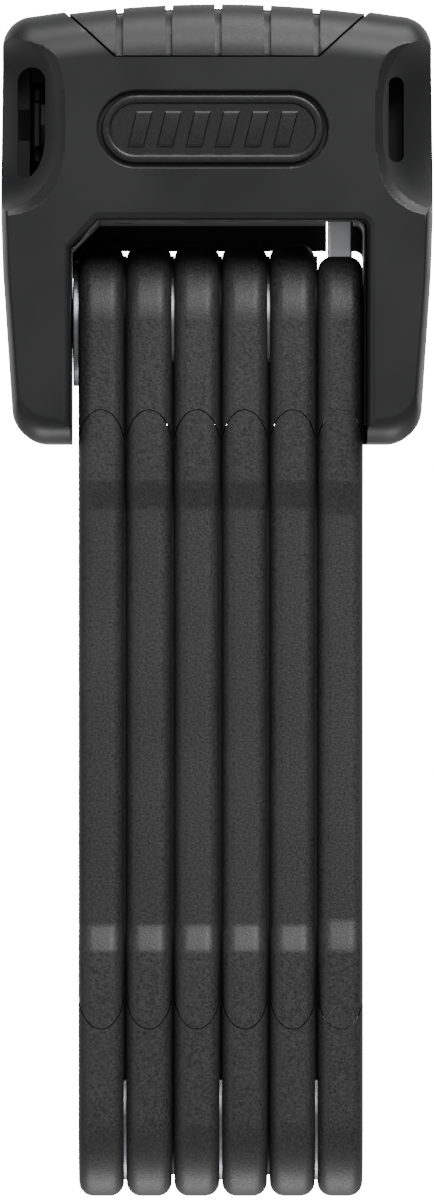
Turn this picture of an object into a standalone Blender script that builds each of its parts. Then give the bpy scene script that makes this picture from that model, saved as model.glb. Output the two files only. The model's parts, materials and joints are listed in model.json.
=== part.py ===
"""Folding bike lock.

Six coated steel bars turn on rivets and fold flat beside each other under a lock body,
where a keyed bolt catches the tongue of the last bar. Lengths are in millimetres, and
the functions that make meshes and places turn them into metres. The origin is on the
lock body's flat back. +X is the right-hand side, the front faces -Y, and +Z is up.
"""

import math

import bmesh
import bpy
from mathutils import Matrix

MM = 0.001
GAP = 0.3  # left between pieces that meet
WELD = 0.002
THROUGH = 2.0  # how far a cutter runs past the face it cuts

# Lock body, seen from the front
HEAD_HALF_WIDTH = 34.25
HEAD_TOP = 18.0
HEAD_BOTTOM = -52.0
HEAD_DEPTH = 38.0
ARCH_RADIUS = 182.0
CORNER_X = 29.0
TOP_CORNER_RADIUS = 5.0
FOOT_CORNER = (27.0, -46.5)
FOOT_CORNER_RADIUS = 5.5
SIDE_POINTS = ((33.95, -25.0), (34.25, -16.0), (34.25, -9.0), (34.0, 8.0))

# How far each end of the lock body draws in: side, top, bottom, and over what depth
FRONT_ROUNDING = (1.4, 8.0, 4.0, 7.5)
REAR_ROUNDING = (1.5, 3.0, 3.0, 4.0)
ROUNDING_STEPS = 4

# Scoops across the front corners
LEFT_SCOOP_X = -41.0
RIGHT_SCOOP_X = 42.0
SCOOP_Y = -44.8
SCOOP_Z = -1.2
SCOOP_RADIUS = 17.5
SCOOP_HEIGHT = 15.4
SCOOP_POWER = 3.0
THUMB_TOP = (-29.4, 5.3)  # centres of the three arcs round the thumb slot
THUMB_BELLY = (-30.6, -3.0)
THUMB_FOOT = (-30.6, -9.1)
THUMB_TOP_RADIUS = 2.2
THUMB_BELLY_RADII = (3.4, 7.1)
THUMB_FOOT_RADIUS = 1.0
BRACKET_SLOT_CENTRE = (28.4, -0.85)
BRACKET_SLOT_SIZE = (2.4, 13.5)

# Recess that takes the folded bars
RECESS_LEFT = -23.2
RECESS_RIGHT = 23.8
RECESS_CEILING = -16.8
REAR_LIP_CEILING = -20.8
REAR_RECESS_RIGHT = 23.4
RECESS_CHAMFER = 4.4

# Hardened core inside the two shells
CORE_HALF_WIDTH = 29.5
CORE_TOP = 13.2
CORE_BOTTOM = -49.0
CORE_FRONT = -35.0
CORE_REAR = -3.0
CORE_FRONT_CHAMFER = 6.0
CORE_CORNER = 4.0
CORE_BROW = 4.5

# Bars
BAR_COUNT = 6
BAR_PITCH = 7.6
STACK_CENTRE = 0.6
AXIS_Y = -HEAD_DEPTH / 2
TOP_AXIS_Z = -32.8
PIVOT_SPACING = 126.6
BOTTOM_AXIS_Z = TOP_AXIS_Z - PIVOT_SPACING
STEEL_HALF = 2.75
JACKET_HALF = 3.6
JACKET_EDGE = 1.2
JACKET_RADIUS = 12.6
JACKET_WAIST = 11.0
JACKET_WALL = 1.0
LAND_HALF_WIDTH = 8.0
LAND_ENDS = (9.2, 10.8)
LAND_WIDTH = 1.2
TOP_SHOULDER = 25.0
BOTTOM_SHOULDER = 26.4
SHOULDER_SLOPE = 4.9
LAST_BAR_SLOPE = 5.8
SEAM_HALF_WIDTH = 3.75
SEAM_HEIGHT = 6.7
TOP_SEAM = 20.7
BOTTOM_SEAM = 21.2

# Riveted joints
RIVET_RADIUS = 4.0
RIVET_HEAD = 6.2
RIVET_HEAD_THICKNESS = 0.4
WASHER_RADIUS = 10.0
WASHER_HOLE = 4.6
WASHER_WINDOW = 10.4

# Tongue of the last bar, and the slot and bolt that take it
TONGUE_HALF = 1.9
TONGUE_HALF_WIDTH = 6.5
EYE_HEIGHT = 25.0
EYE_RADIUS = 3.7
FLAT_TOP = 10.5
BOLT_Z = TOP_AXIS_Z + EYE_HEIGHT
BOLT_RADIUS = 3.4
BOLT_TAIL = 1.6
BOLT_NOSE = 16.9
BOLT_TRAVEL = 7.5
SLOT_SIDE = 0.4
SLOT_END = 0.8

# Key cylinder
KEY_Z = -1.35
HOUSING_RADIUS = 8.5
HOUSING_BORE = 6.3
HOUSING_LEFT = -27.0
HOUSING_RIGHT = -4.0
PLUG_RADIUS = 6.0
PLUG_BORE = 4.4
TAIL_RADIUS = 2.4
CAM_LEFT = -3.5
CAM_FACE = -1.8
CAM_RADIUS = 8.2
CAM_SWEEP = 90.0
RAMP_LEAD = 10.0
DISC_COUNT = 4
DISC_PITCH = 3.4
FIRST_DISC = -25.4

# Keyhole cover
COVER_LEFT = -29.2
COVER_RIGHT = -28.0
KEYHOLE_RADIUS = 6.5

# Grip pad and badge
TILE_PITCH = 7.8
TILE_CENTRE = 0.2
GROOVE_WIDTH = 1.1
GROOVE_COUNT = 5
PAD_REAR = -8.0
PAD_SHAPE = ((-16.0, 9.2), (16.0, 9.2), (24.2, 16.8), (24.2, 22.0), (-24.2, 22.0), (-24.2, 16.8))
BADGE_CENTRE = (-0.65, -2.4)
BADGE_SIZE = (35.1, 10.8)
BADGE_FIELD = (32.4, 8.7)
BADGE_BARS = 6

# Screws that hold the shells on the core: x and z
SCREWS = ((-24.5, 9.9), (24.5, 9.9), (-26.35, -44.0), (26.65, -44.0))
SCREW_RADIUS = 1.2
SCREW_HEAD = 2.5

BLACK_PLASTIC = ((0.022, 0.022, 0.024), 0.45, 0.0)
BLACK_RUBBER = ((0.026, 0.026, 0.028), 0.62, 0.0)
BLACK_COATING = ((0.03, 0.03, 0.032), 0.55, 0.0)
BLACK_STEEL = ((0.05, 0.05, 0.055), 0.4, 0.9)
BARE_STEEL = ((0.56, 0.57, 0.58), 0.3, 1.0)
PLATED_STEEL = ((0.72, 0.72, 0.74), 0.16, 1.0)
BRASS = ((0.72, 0.55, 0.26), 0.32, 1.0)

# A flat drawing's own axes, turned so that its thickness runs along X, Y or Z
TURN = {
    "X": Matrix(((0, 0, 1, 0), (1, 0, 0, 0), (0, 1, 0, 0), (0, 0, 0, 1))),
    "Y": Matrix(((1, 0, 0, 0), (0, 0, -1, 0), (0, 1, 0, 0), (0, 0, 0, 1))),
    "Z": Matrix.Identity(4),
}


# ---------------------------------------------------------------- making meshes


def clear_scene():
    for thing in list(bpy.data.objects):
        bpy.data.objects.remove(thing)


def new_collection(name):
    group = bpy.data.collections.new(name)
    bpy.context.scene.collection.children.link(group)
    return group


def add_object(name, mesh):
    """A working object, kept with the cutters until it is finished."""
    thing = bpy.data.objects.new(name, mesh)
    thing.hide_render = True
    thing.display_type = "WIRE"
    CUTTERS.objects.link(thing)
    return thing


def from_bmesh(name, shape):
    bmesh.ops.recalc_face_normals(shape, faces=shape.faces)
    mesh = bpy.data.meshes.new(name)
    shape.to_mesh(mesh)
    shape.free()
    return add_object(name, mesh)


def bake(thing):
    """Turns an object's modifiers, or its curve, into a plain welded mesh."""
    graph = bpy.context.evaluated_depsgraph_get()
    mesh = bpy.data.meshes.new_from_object(thing.evaluated_get(graph))
    shape = bmesh.new()
    shape.from_mesh(mesh)
    bmesh.ops.remove_doubles(shape, verts=shape.verts, dist=WELD * MM)
    shape.to_mesh(mesh)
    shape.free()
    result = add_object(thing.name, mesh)
    result.matrix_world = thing.matrix_world
    name = thing.name
    bpy.data.objects.remove(thing)
    result.name = name
    return result


def turn_to(axis, along):
    """Stands a flat drawing's mesh so that its middle is at a distance along an axis."""
    sign = -1 if axis == "Y" else 1
    return TURN[axis] @ Matrix.Translation((0, 0, sign * along * MM))


def prism(name, outline, low, high, axis):
    """A flat outline with a thickness. Its points are (y, z) on X, (x, z) on Y, (x, y) on Z."""
    curve = bpy.data.curves.new(name, "CURVE")
    curve.dimensions = "2D"
    curve.fill_mode = "BOTH"
    curve.extrude = (high - low) / 2 * MM
    spline = curve.splines.new("POLY")
    spline.points.add(len(outline) - 1)
    for point, (u, v) in zip(spline.points, outline):
        point.co = (u * MM, v * MM, 0, 1)
    spline.use_cyclic_u = True
    solid = bake(add_object(name, curve))
    solid.data.transform(turn_to(axis, (low + high) / 2))
    return solid


def rod(name, radius, low, high, axis, centre, sides=16):
    """A round bar along an axis. Its centre is (y, z) on X, (x, z) on Y, (x, y) on Z."""
    shape = bmesh.new()
    place = Matrix.Translation((centre[0] * MM, centre[1] * MM, 0))
    bmesh.ops.create_cone(
        shape,
        cap_ends=True,
        segments=sides,
        radius1=radius * MM,
        radius2=radius * MM,
        depth=(high - low) * MM,
        matrix=turn_to(axis, (low + high) / 2) @ place,
    )
    return from_bmesh(name, shape)


def box(name, low, high):
    middle = [(a + b) / 2 * MM for a, b in zip(low, high)]
    size = [(b - a) * MM for a, b in zip(low, high)]
    shape = bmesh.new()
    bmesh.ops.create_cube(
        shape, size=1, matrix=Matrix.Translation(middle) @ Matrix.Diagonal((*size, 1))
    )
    return from_bmesh(name, shape)


def turned(name, profile, closed=False, steps=16):
    """A round piece about X, from (radius, x) points that run down its outer side."""
    corners = [(radius * MM, 0, along * MM) for radius, along in profile]
    edges = [(i, i + 1) for i in range(len(corners) - 1)]
    if closed:
        edges.append((len(corners) - 1, 0))
    mesh = bpy.data.meshes.new(name)
    mesh.from_pydata(corners, edges, [])
    piece = add_object(name, mesh)
    spin = piece.modifiers.new("spin", "SCREW")
    spin.steps = steps
    spin.render_steps = steps
    spin.use_merge_vertices = True
    spin.merge_threshold = 0.00001
    piece = bake(piece)
    piece.data.transform(TURN["X"])
    return piece


def loft(name, sections):
    """A closed skin over sections that have the same number of points."""
    shape = bmesh.new()
    rings = [[shape.verts.new([v * MM for v in point]) for point in ring] for ring in sections]
    count = len(rings[0])
    for near, far in zip(rings, rings[1:]):
        for i in range(count):
            j = (i + 1) % count
            shape.faces.new((near[i], near[j], far[j], far[i]))
    shape.faces.new(rings[0])
    shape.faces.new(rings[-1])
    return from_bmesh(name, shape)


def combine(target, operation, tools):
    for tool in tools:
        step = target.modifiers.new(operation, "BOOLEAN")
        step.operation = operation
        step.solver = "EXACT"
        step.object = tool
    target = bake(target)
    for tool in tools:
        bpy.data.objects.remove(tool)
    return target


def cut(target, *tools):
    return combine(target, "DIFFERENCE", tools)


def join(target, *tools):
    return combine(target, "UNION", tools)


def keep_inside(target, tool):
    return combine(target, "INTERSECT", (tool,))


def soften(thing, width, segments):
    """Rounds every edge of a solid that is sharper than 50 degrees."""
    bevel = thing.modifiers.new("soften", "BEVEL")
    bevel.limit_method = "ANGLE"
    bevel.angle_limit = math.radians(50)
    bevel.width = width * MM
    bevel.segments = segments
    bevel.use_clamp_overlap = False
    return bake(thing)


# ---------------------------------------------------------------- outlines


def arc(centre, radius, start, end, steps):
    """Points on an arc between two angles in degrees. A radius can be (wide, high)."""
    wide, high = radius if isinstance(radius, tuple) else (radius, radius)
    points = []
    for i in range(steps + 1):
        angle = math.radians(start + (end - start) * i / steps)
        points.append((centre[0] + wide * math.cos(angle), centre[1] + high * math.sin(angle)))
    return points


def mirrored(half):
    """Closes an outline whose right half runs from bottom to top."""
    return half + [(-x, z) for x, z in reversed(half) if abs(x) > 0.01]


def stadium(centre, size, steps=8):
    length, height = size
    radius = height / 2
    reach = length / 2 - radius
    right = arc((centre[0] + reach, centre[1]), radius, -90, 90, steps)
    return right + arc((centre[0] - reach, centre[1]), radius, 90, 270, steps)


def head_outline():
    half = arc(FOOT_CORNER, FOOT_CORNER_RADIUS, -90, -5, 4)
    half += SIDE_POINTS
    corner_top = HEAD_TOP - CORNER_X**2 / (2 * ARCH_RADIUS)
    half += arc((CORNER_X, corner_top - TOP_CORNER_RADIUS), TOP_CORNER_RADIUS, 0, 82, 4)
    half += [(x, HEAD_TOP - x**2 / (2 * ARCH_RADIUS)) for x in (24.0, 18.0, 12.0, 6.0, 0.0)]
    return mirrored(half)


def head_section(y, side, top, bottom):
    """The lock body's outline at a depth, drawn in at its sides, top and bottom."""
    width = (HEAD_HALF_WIDTH - side) / HEAD_HALF_WIDTH
    height = (HEAD_TOP - HEAD_BOTTOM - top - bottom) / (HEAD_TOP - HEAD_BOTTOM)
    return [
        (x * width, y, HEAD_BOTTOM + bottom + (z - HEAD_BOTTOM) * height) for x, z in head_outline()
    ]


def rounded_end(face_y, inward, rounding, inset):
    """Sections from a flat end face to the full outline, on a quarter turn."""
    side, top, bottom, depth = rounding
    sections = []
    for i in range(ROUNDING_STEPS + 1):
        angle = math.radians(90 * i / ROUNDING_STEPS)
        drawn = 1 - math.sin(angle)
        y = face_y + inward * (inset + depth * (1 - math.cos(angle)))
        sections.append(
            head_section(y, side * drawn + inset, top * drawn + inset, bottom * drawn + inset)
        )
    return sections


def head_solid(name, front=True, rear=True, inset=0.0):
    """The lock body's outer form, whole or one half of it, with an even inset."""
    sections = []
    if front:
        sections += rounded_end(-HEAD_DEPTH, 1, FRONT_ROUNDING, inset)
    if not rear:
        sections.append(head_section(AXIS_Y - GAP / 2, inset, inset, inset))
    if not front:
        sections.append(head_section(AXIS_Y + GAP / 2, inset, inset, inset))
    if rear:
        sections += reversed(rounded_end(0, -1, REAR_ROUNDING, inset))
    return loft(name, sections)


def recess_cutter(ceiling, right, low, high):
    foot = HEAD_BOTTOM - THROUGH
    corner = arc((right - 1.3, ceiling - 1.3), 1.3, 0, 90, 3)
    outline = [(RECESS_LEFT, foot), (right, foot), *corner]
    outline += [(RECESS_LEFT + RECESS_CHAMFER, ceiling), (RECESS_LEFT, ceiling - RECESS_CHAMFER)]
    return prism("recess_cutter", outline, low, high, "Y")


def bar_outline(inset, slope=SHOULDER_SLOPE, flat_top=None):
    """A bar's outline beside its flat, as (y, z) from its lower pivot."""
    radius = JACKET_RADIUS - inset
    waist = JACKET_WAIST - inset
    top = PIVOT_SPACING - TOP_SHOULDER
    half = arc((0, 0), radius, -90, 0, 5)
    half += [(radius, BOTTOM_SHOULDER), (waist, BOTTOM_SHOULDER + slope)]
    half += [(waist, top - slope), (radius, top)]
    if flat_top is None:
        half += arc((0, PIVOT_SPACING), radius, 0, 90, 5)
    else:
        end = math.degrees(math.asin(flat_top / radius))
        half += arc((0, PIVOT_SPACING), radius, 0, end, 5)
    return mirrored(half)


def sleeve_region(name, grow):
    """The stretch of a jacket between its two curved seams, seen from the front."""
    wide = SEAM_HALF_WIDTH + grow
    outer = JACKET_HALF + THROUGH
    low = BOTTOM_SEAM - grow
    high = PIVOT_SPACING - TOP_SEAM + grow
    outline = [(outer, low), (outer, high)]
    outline += arc((0, high), (wide, SEAM_HEIGHT), 0, 180, 6)
    outline += [(-outer, high), (-outer, low)]
    outline += arc((0, low), (wide, SEAM_HEIGHT), 180, 360, 6)
    reach = JACKET_RADIUS + THROUGH
    return prism(name, outline, -reach, reach, "Y")


# ---------------------------------------------------------------- placing pieces


def finish(thing, look, parent=None, place=(0, 0, 0), origin=(0, 0, 0)):
    """Moves a made solid to the lock's collection, with its origin, place and material."""
    colour, roughness, metallic = look
    thing.data.transform(Matrix.Translation([-v * MM for v in origin]))
    thing.location = [(p + o) * MM for p, o in zip(place, origin)]
    thing.parent = parent
    material = bpy.data.materials.new(thing.name)
    material.use_nodes = True
    shader = material.node_tree.nodes["Principled BSDF"]
    shader.inputs["Base Color"].default_value = (*colour, 1)
    shader.inputs["Roughness"].default_value = roughness
    shader.inputs["Metallic"].default_value = metallic
    thing.data.materials.clear()
    thing.data.materials.append(material)
    thing.data.shade_smooth()
    thing.data.set_sharp_from_angle(angle=math.radians(30))
    CUTTERS.objects.unlink(thing)
    LOCK.objects.link(thing)
    thing.hide_render = False
    thing.display_type = "TEXTURED"
    return thing


def copy_of(model, name):
    """Another object with the same shape, before it is finished."""
    return add_object(name, model.data.copy())


def add_empty(name, parent, place):
    empty = bpy.data.objects.new(name, None)
    empty.empty_display_size = 5 * MM
    empty.location = [v * MM for v in place]
    empty.parent = parent
    LOCK.objects.link(empty)
    return empty


def bar_x(number):
    return STACK_CENTRE + (number - (BAR_COUNT + 1) / 2) * BAR_PITCH


# ---------------------------------------------------------------- lock body


def core_block(name, grow):
    """The core's outer form, without its recess or bores."""
    wide = CORE_HALF_WIDTH + grow
    top = CORE_TOP + grow
    half = [(wide, CORE_BOTTOM - grow), (wide, top - CORE_CORNER), (wide - CORE_CORNER, top)]
    block = prism(name, mirrored(half), CORE_FRONT - grow, CORE_REAR + grow, "Y")
    plan = [
        (wide, CORE_FRONT - grow + CORE_FRONT_CHAMFER),
        (wide, CORE_REAR + grow - 2.0),
        (wide - 2.0, CORE_REAR + grow),
    ]
    plan = [(wide - CORE_FRONT_CHAMFER, CORE_FRONT - grow)] + plan
    tower = prism("core_plan", mirrored(plan), CORE_BOTTOM - 5, CORE_TOP + 5, "Z")
    brow = CORE_FRONT - grow + CORE_BROW
    side = [(CORE_FRONT - grow - 1, top - CORE_BROW - 1), (brow, top), (brow, top + 5)]
    side.append((CORE_FRONT - grow - 1, top + 5))
    brow_cutter = prism("core_brow", side, -CORE_HALF_WIDTH - 5, CORE_HALF_WIDTH + 5, "X")
    return cut(keep_inside(block, tower), brow_cutter)


def thumb_slot(name, grow, deep):
    """The D-shaped slot in the left scoop, which reaches the keyhole cover's tab."""
    wide, tall = THUMB_BELLY_RADII
    outline = arc(THUMB_TOP, THUMB_TOP_RADIUS + grow, 180, 0, 8)
    outline += arc(THUMB_BELLY, (wide + grow, tall + grow), 0, -90, 8)
    outline += arc(THUMB_FOOT, THUMB_FOOT_RADIUS + grow, -90, -180, 3)
    return prism(name, outline, -HEAD_DEPTH - 2, deep, "Y")


def bracket_slot(name, grow, deep):
    """The narrow blind slot in the right scoop, which a carrying bracket hooks into."""
    width, height = (size + 2 * grow for size in BRACKET_SLOT_SIZE)
    centre_x, centre_z = BRACKET_SLOT_CENTRE
    outline = [(centre_x - v, centre_z + u) for u, v in stadium((0, 0), (height, width), 5)]
    return prism(name, outline, -HEAD_DEPTH - 2, deep, "Y")


def tongue_slot(name, ceiling_below):
    """The slot that the last bar's tongue stands in, open below and to the rear."""
    centre = bar_x(BAR_COUNT)
    half = TONGUE_HALF + SLOT_SIDE
    front = AXIS_Y - TONGUE_HALF_WIDTH - SLOT_END
    top = TOP_AXIS_Z + EYE_HEIGHT + TONGUE_HALF_WIDTH + SLOT_END
    return box(name, (centre - half, front, ceiling_below), (centre + half, THROUGH, top))


def make_core():
    core = core_block("lock_body_core", 0)
    rivet_hole = rod("hole", RIVET_RADIUS + GAP, -32, -20, "X", (AXIS_Y, TOP_AXIS_Z))
    rivet_seat = rod("seat", RIVET_HEAD + GAP, -32, -27.9, "X", (AXIS_Y, TOP_AXIS_Z))
    cylinder_bore = rod("bore", HOUSING_RADIUS + 2 * GAP, -32, 6.2, "X", (AXIS_Y, KEY_Z), 24)
    spring_bore = rod("spring_bore", 4.9, -2, 13.9, "X", (AXIS_Y, BOLT_Z))
    bolt_bore = rod("bolt_bore", BOLT_RADIUS + GAP, 10, 25.2, "X", (AXIS_Y, BOLT_Z))
    cover_room = box("cover_room", (-32, -28.1, -16.1), (-27.5, -12.9, 5.3))
    pin_hole = rod("pin_hole", 1.6, RECESS_CEILING - 1, -8, "Z", (-15, AXIS_Y), 12)
    screw_holes = [
        rod(f"screw_hole_{i}", SCREW_RADIUS + GAP, CORE_FRONT - 1, CORE_REAR + 1, "Y", place, 12)
        for i, place in enumerate(SCREWS)
    ]
    return cut(
        core,
        recess_cutter(RECESS_CEILING, REAR_RECESS_RIGHT, CORE_FRONT - THROUGH, CORE_REAR + THROUGH),
        rivet_hole,
        rivet_seat,
        cylinder_bore,
        spring_bore,
        bolt_bore,
        cover_room,
        pin_hole,
        thumb_slot("thumb_slot", 0, -25),
        bracket_slot("bracket_slot", 0, -26),
        tongue_slot("tongue_slot", RECESS_CEILING - 1),
        *screw_holes,
    )


def scoop(name, centre_x):
    """A shallow dish across the front corner, round in plan and boxy in height."""
    shape = bmesh.new()
    bmesh.ops.create_uvsphere(shape, u_segments=40, v_segments=24, radius=1)
    for corner in shape.verts:
        across = math.hypot(corner.co.x, corner.co.y)
        corner.co /= (across**SCOOP_POWER + abs(corner.co.z) ** SCOOP_POWER) ** (1 / SCOOP_POWER)
    size = Matrix.Diagonal((SCOOP_RADIUS * MM, SCOOP_RADIUS * MM, SCOOP_HEIGHT * MM, 1))
    place = Matrix.Translation((centre_x * MM, SCOOP_Y * MM, SCOOP_Z * MM))
    shape.transform(place @ size)
    return from_bmesh(name, shape)


def pad_seat(name):
    """Room for the grip pad: its outline, down to a floor that follows the lock body."""
    grown = [(x + math.copysign(GAP, x), z - GAP) for x, z in PAD_SHAPE]
    seat = prism(name, grown, -HEAD_DEPTH - THROUGH, PAD_REAR + GAP, "Y")
    return cut(seat, head_solid("seat_floor", inset=2.3))


def make_front_shell():
    shell = head_solid("front_shell", rear=False)
    blind_holes = [
        rod(f"boss_hole_{i}", SCREW_RADIUS + GAP, -36.8, -28, "Y", place, 12)
        for i, place in enumerate(SCREWS)
    ]
    seat_size = (BADGE_SIZE[0] + 1.1, BADGE_SIZE[1] + 1.1)
    return cut(
        shell,
        core_block("room_for_core", GAP),
        recess_cutter(RECESS_CEILING, RECESS_RIGHT, -HEAD_DEPTH - THROUGH, AXIS_Y + THROUGH),
        scoop("left_scoop", LEFT_SCOOP_X),
        scoop("right_scoop", RIGHT_SCOOP_X),
        thumb_slot("thumb_slot", 0, -25),
        bracket_slot("bracket_slot", 0, -26),
        rod("keyhole", KEYHOLE_RADIUS, -38, -29, "X", (AXIS_Y, KEY_Z)),
        pad_seat("pad_seat"),
        prism("badge_seat", stadium(BADGE_CENTRE, seat_size), -HEAD_DEPTH - 1, -36.7, "Y"),
        *blind_holes,
    )


def make_rear_shell():
    shell = head_solid("rear_shell", front=False)
    holes = []
    for i, place in enumerate(SCREWS):
        holes.append(rod(f"hole_{i}", SCREW_RADIUS + GAP, -5, 1, "Y", place, 12))
        holes.append(rod(f"head_room_{i}", SCREW_HEAD + GAP, -2.4, 1, "Y", place, 18))
    return cut(
        shell,
        core_block("room_for_core", GAP),
        recess_cutter(REAR_LIP_CEILING, REAR_RECESS_RIGHT, AXIS_Y - THROUGH, THROUGH),
        rod("keyhole", KEYHOLE_RADIUS, -38, -29, "X", (AXIS_Y, KEY_Z)),
        pad_seat("pad_seat"),
        tongue_slot("tongue_slot", REAR_LIP_CEILING - 1),
        *holes,
    )


def make_grip_pad():
    """One rubber strip over the top edge: six raised tiles on a thin base."""
    pad = prism("grip_pad", PAD_SHAPE, -HEAD_DEPTH - THROUGH, PAD_REAR, "Y")
    pad = keep_inside(pad, head_solid("pad_skin", inset=0.35))
    grooves = []
    for i in range(GROOVE_COUNT):
        x = TILE_CENTRE + (i - (GROOVE_COUNT - 1) / 2) * TILE_PITCH
        low = (x - GROOVE_WIDTH / 2, -HEAD_DEPTH - THROUGH, 0)
        high = (x + GROOVE_WIDTH / 2, 0, HEAD_TOP + THROUGH)
        groove = box(f"groove_{i}", low, high)
        grooves.append(cut(groove, head_solid("groove_floor", inset=1.3)))
    return cut(pad, head_solid("pad_underside", inset=2.0), *grooves)


def make_badge():
    """A stadium-shaped plate with a raised rim and a row of slanted bars."""
    badge = prism("badge_plate", stadium(BADGE_CENTRE, BADGE_SIZE), -37.8, -37.0, "Y")
    field = prism("field", stadium(BADGE_CENTRE, BADGE_FIELD), -39, -37.35, "Y")
    bars = []
    for i in range(BADGE_BARS):
        x = BADGE_CENTRE[0] + (i - (BADGE_BARS - 1) / 2) * 4.6
        low, high = BADGE_CENTRE[1] - 2.8, BADGE_CENTRE[1] + 2.8
        outline = [(x - 2.0, low), (x + 0.6, low), (x + 2.0, high), (x - 0.6, high)]
        bars.append(prism(f"bar_{i}", outline, -40, -37, "Y"))
    return cut(badge, cut(field, *bars))


def make_screw():
    """A countersunk screw along X, to be turned to point into the lock body."""
    profile = [(0, 36.3), (SCREW_RADIUS, 36.3), (SCREW_RADIUS, 2.1), (SCREW_HEAD, 2.1)]
    profile += [(SCREW_HEAD, 0.6), (SCREW_HEAD - 0.4, GAP), (0, GAP)]
    screw = turned("shell_screw", profile, steps=12)
    socket = rod("socket", 1.1, 0, 1.5, "X", (0, 0), 6)
    screw = cut(screw, socket)
    screw.data.transform(Matrix.Rotation(math.radians(-90), 4, "Z"))
    return screw


# ---------------------------------------------------------------- key cylinder and bolt


def make_housing():
    left, right = HOUSING_LEFT, HOUSING_RIGHT
    profile = [(HOUSING_BORE, right), (HOUSING_RADIUS, right), (HOUSING_RADIUS, left)]
    profile.append((HOUSING_BORE, left))
    tube = turned("cylinder_housing", profile, closed=True, steps=24)
    tube.data.transform(Matrix.Translation((0, AXIS_Y * MM, KEY_Z * MM)))
    notch = rod("notch", 1.6, -12, -8.4, "Z", (-15, AXIS_Y), 12)
    groove = box("groove", (-24.5, AXIS_Y - 1.1, 4.0), (-7.5, AXIS_Y + 1.1, 6.0))
    return cut(tube, notch, groove)


def make_plug():
    """A cup that holds the discs, with the tail that drives the cam."""
    profile = [(0, -1.9), (TAIL_RADIUS, -1.9), (TAIL_RADIUS, -4.5), (PLUG_RADIUS, -4.5)]
    profile += [(PLUG_RADIUS, -26.7), (PLUG_BORE, -26.7), (PLUG_BORE, -9.5), (0, -9.5)]
    plug = turned("cylinder_plug", profile)
    plug.data.transform(Matrix.Translation((0, AXIS_Y * MM, KEY_Z * MM)))
    window = box("window", (-24.5, AXIS_Y - 1.1, KEY_Z + 3), (-11, AXIS_Y + 1.1, KEY_Z + 8))
    return cut(plug, window)


def make_disc(name, centre_x):
    """A rotating detainer with a slot for the key and a notch for the sidebar."""
    radius = PLUG_BORE - GAP
    disc = rod(name, radius, centre_x - 0.8, centre_x + 0.8, "X", (AXIS_Y, KEY_Z))
    low = (centre_x - 2, AXIS_Y - 1.1, KEY_Z - 2.8)
    slot = box("slot", low, (centre_x + 2, AXIS_Y + 1.1, KEY_Z + 2.2))
    return cut(disc, slot)


def make_sidebar():
    low = (-24.0, AXIS_Y - 0.8, KEY_Z + 4.6)
    return soften(box("sidebar", low, (-11.5, AXIS_Y + 0.8, KEY_Z + 5.9)), 0.3, 1)


def make_cam():
    """A disc with a helical ramp that drives the bolt out as the key turns."""
    bore = TAIL_RADIUS + GAP
    profile = [(bore, CAM_FACE), (CAM_RADIUS, CAM_FACE), (CAM_RADIUS, CAM_LEFT), (bore, CAM_LEFT)]
    cam = turned("drive_cam", profile, closed=True, steps=24)
    cam.data.transform(Matrix.Translation((0, AXIS_Y * MM, KEY_Z * MM)))
    sections = []
    steps = 12
    for i in range(steps + 1):
        turn = CAM_SWEEP * i / steps
        angle = math.radians(-90 - RAMP_LEAD - turn)
        height = CAM_FACE + 0.1 + (BOLT_TRAVEL - 0.1) * i / steps
        ring = []
        for radius, x in ((4.7, -2.4), (7.9, -2.4), (7.9, height), (4.7, height)):
            y = AXIS_Y + radius * math.cos(angle)
            ring.append((x, y, KEY_Z + radius * math.sin(angle)))
        sections.append(ring)
    return join(cam, loft("ramp", sections))


def make_bolt():
    """The cross bolt: a follower pin at its tail, a collar for the spring, a round shaft."""
    tip = CAM_FACE + 0.4
    profile = [(0, BOLT_NOSE), (BOLT_RADIUS - 0.6, BOLT_NOSE), (BOLT_RADIUS, BOLT_NOSE - 0.6)]
    profile += [(BOLT_RADIUS, BOLT_TAIL + 1.2), (4.5, BOLT_TAIL + 1.2), (4.5, BOLT_TAIL)]
    profile += [(1.0, BOLT_TAIL), (1.0, tip), (0, tip)]
    bolt = turned("locking_bolt", profile)
    bolt.data.transform(Matrix.Translation((0, AXIS_Y * MM, BOLT_Z * MM)))
    return bolt


def make_bolt_spring():
    """A wire coil between the bolt's collar and the wall beside the tongue slot."""
    left, right = BOLT_TAIL + 1.9, 13.2
    turns, around = 4, 8
    curve = bpy.data.curves.new("bolt_spring", "CURVE")
    curve.dimensions = "3D"
    curve.bevel_depth = 0.35 * MM
    curve.bevel_resolution = 1
    curve.use_fill_caps = True
    spline = curve.splines.new("POLY")
    count = turns * around
    spline.points.add(count)
    for i, point in enumerate(spline.points):
        angle = 2 * math.pi * i / around
        y = AXIS_Y + 4.1 * math.cos(angle)
        z = BOLT_Z + 4.1 * math.sin(angle)
        x = left + (right - left) * i / count
        point.co = (x * MM, y * MM, z * MM, 1)
    return bake(add_object("bolt_spring", curve))


def make_retaining_ring():
    profile = [(6.5, -27.3), (8.3, -27.3), (8.3, -28.0), (6.5, -28.0)]
    ring = turned("retaining_ring", profile, closed=True)
    ring.data.transform(Matrix.Translation((0, AXIS_Y * MM, KEY_Z * MM)))
    return ring


def make_cover():
    """The plate behind the keyhole, with a thumb tab that shows in the left scoop."""
    plate = box("keyhole_cover", (COVER_LEFT, -25.0, -7.35), (COVER_RIGHT, -13.5, 4.65))
    tab = box("tab", (COVER_LEFT, -27.7, -5.0), (COVER_RIGHT, -24.0, 2.3))
    return soften(join(plate, tab), 0.25, 1)


# ---------------------------------------------------------------- bars and their joints


def make_steel(name):
    steel = prism(name, bar_outline(JACKET_WALL + GAP), -STEEL_HALF, STEEL_HALF, "X")
    holes = [
        rod(f"rivet_hole_{i}", RIVET_RADIUS + GAP, -6, 6, "X", (0, z))
        for i, z in enumerate((0, PIVOT_SPACING))
    ]
    return cut(steel, *holes)


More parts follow.
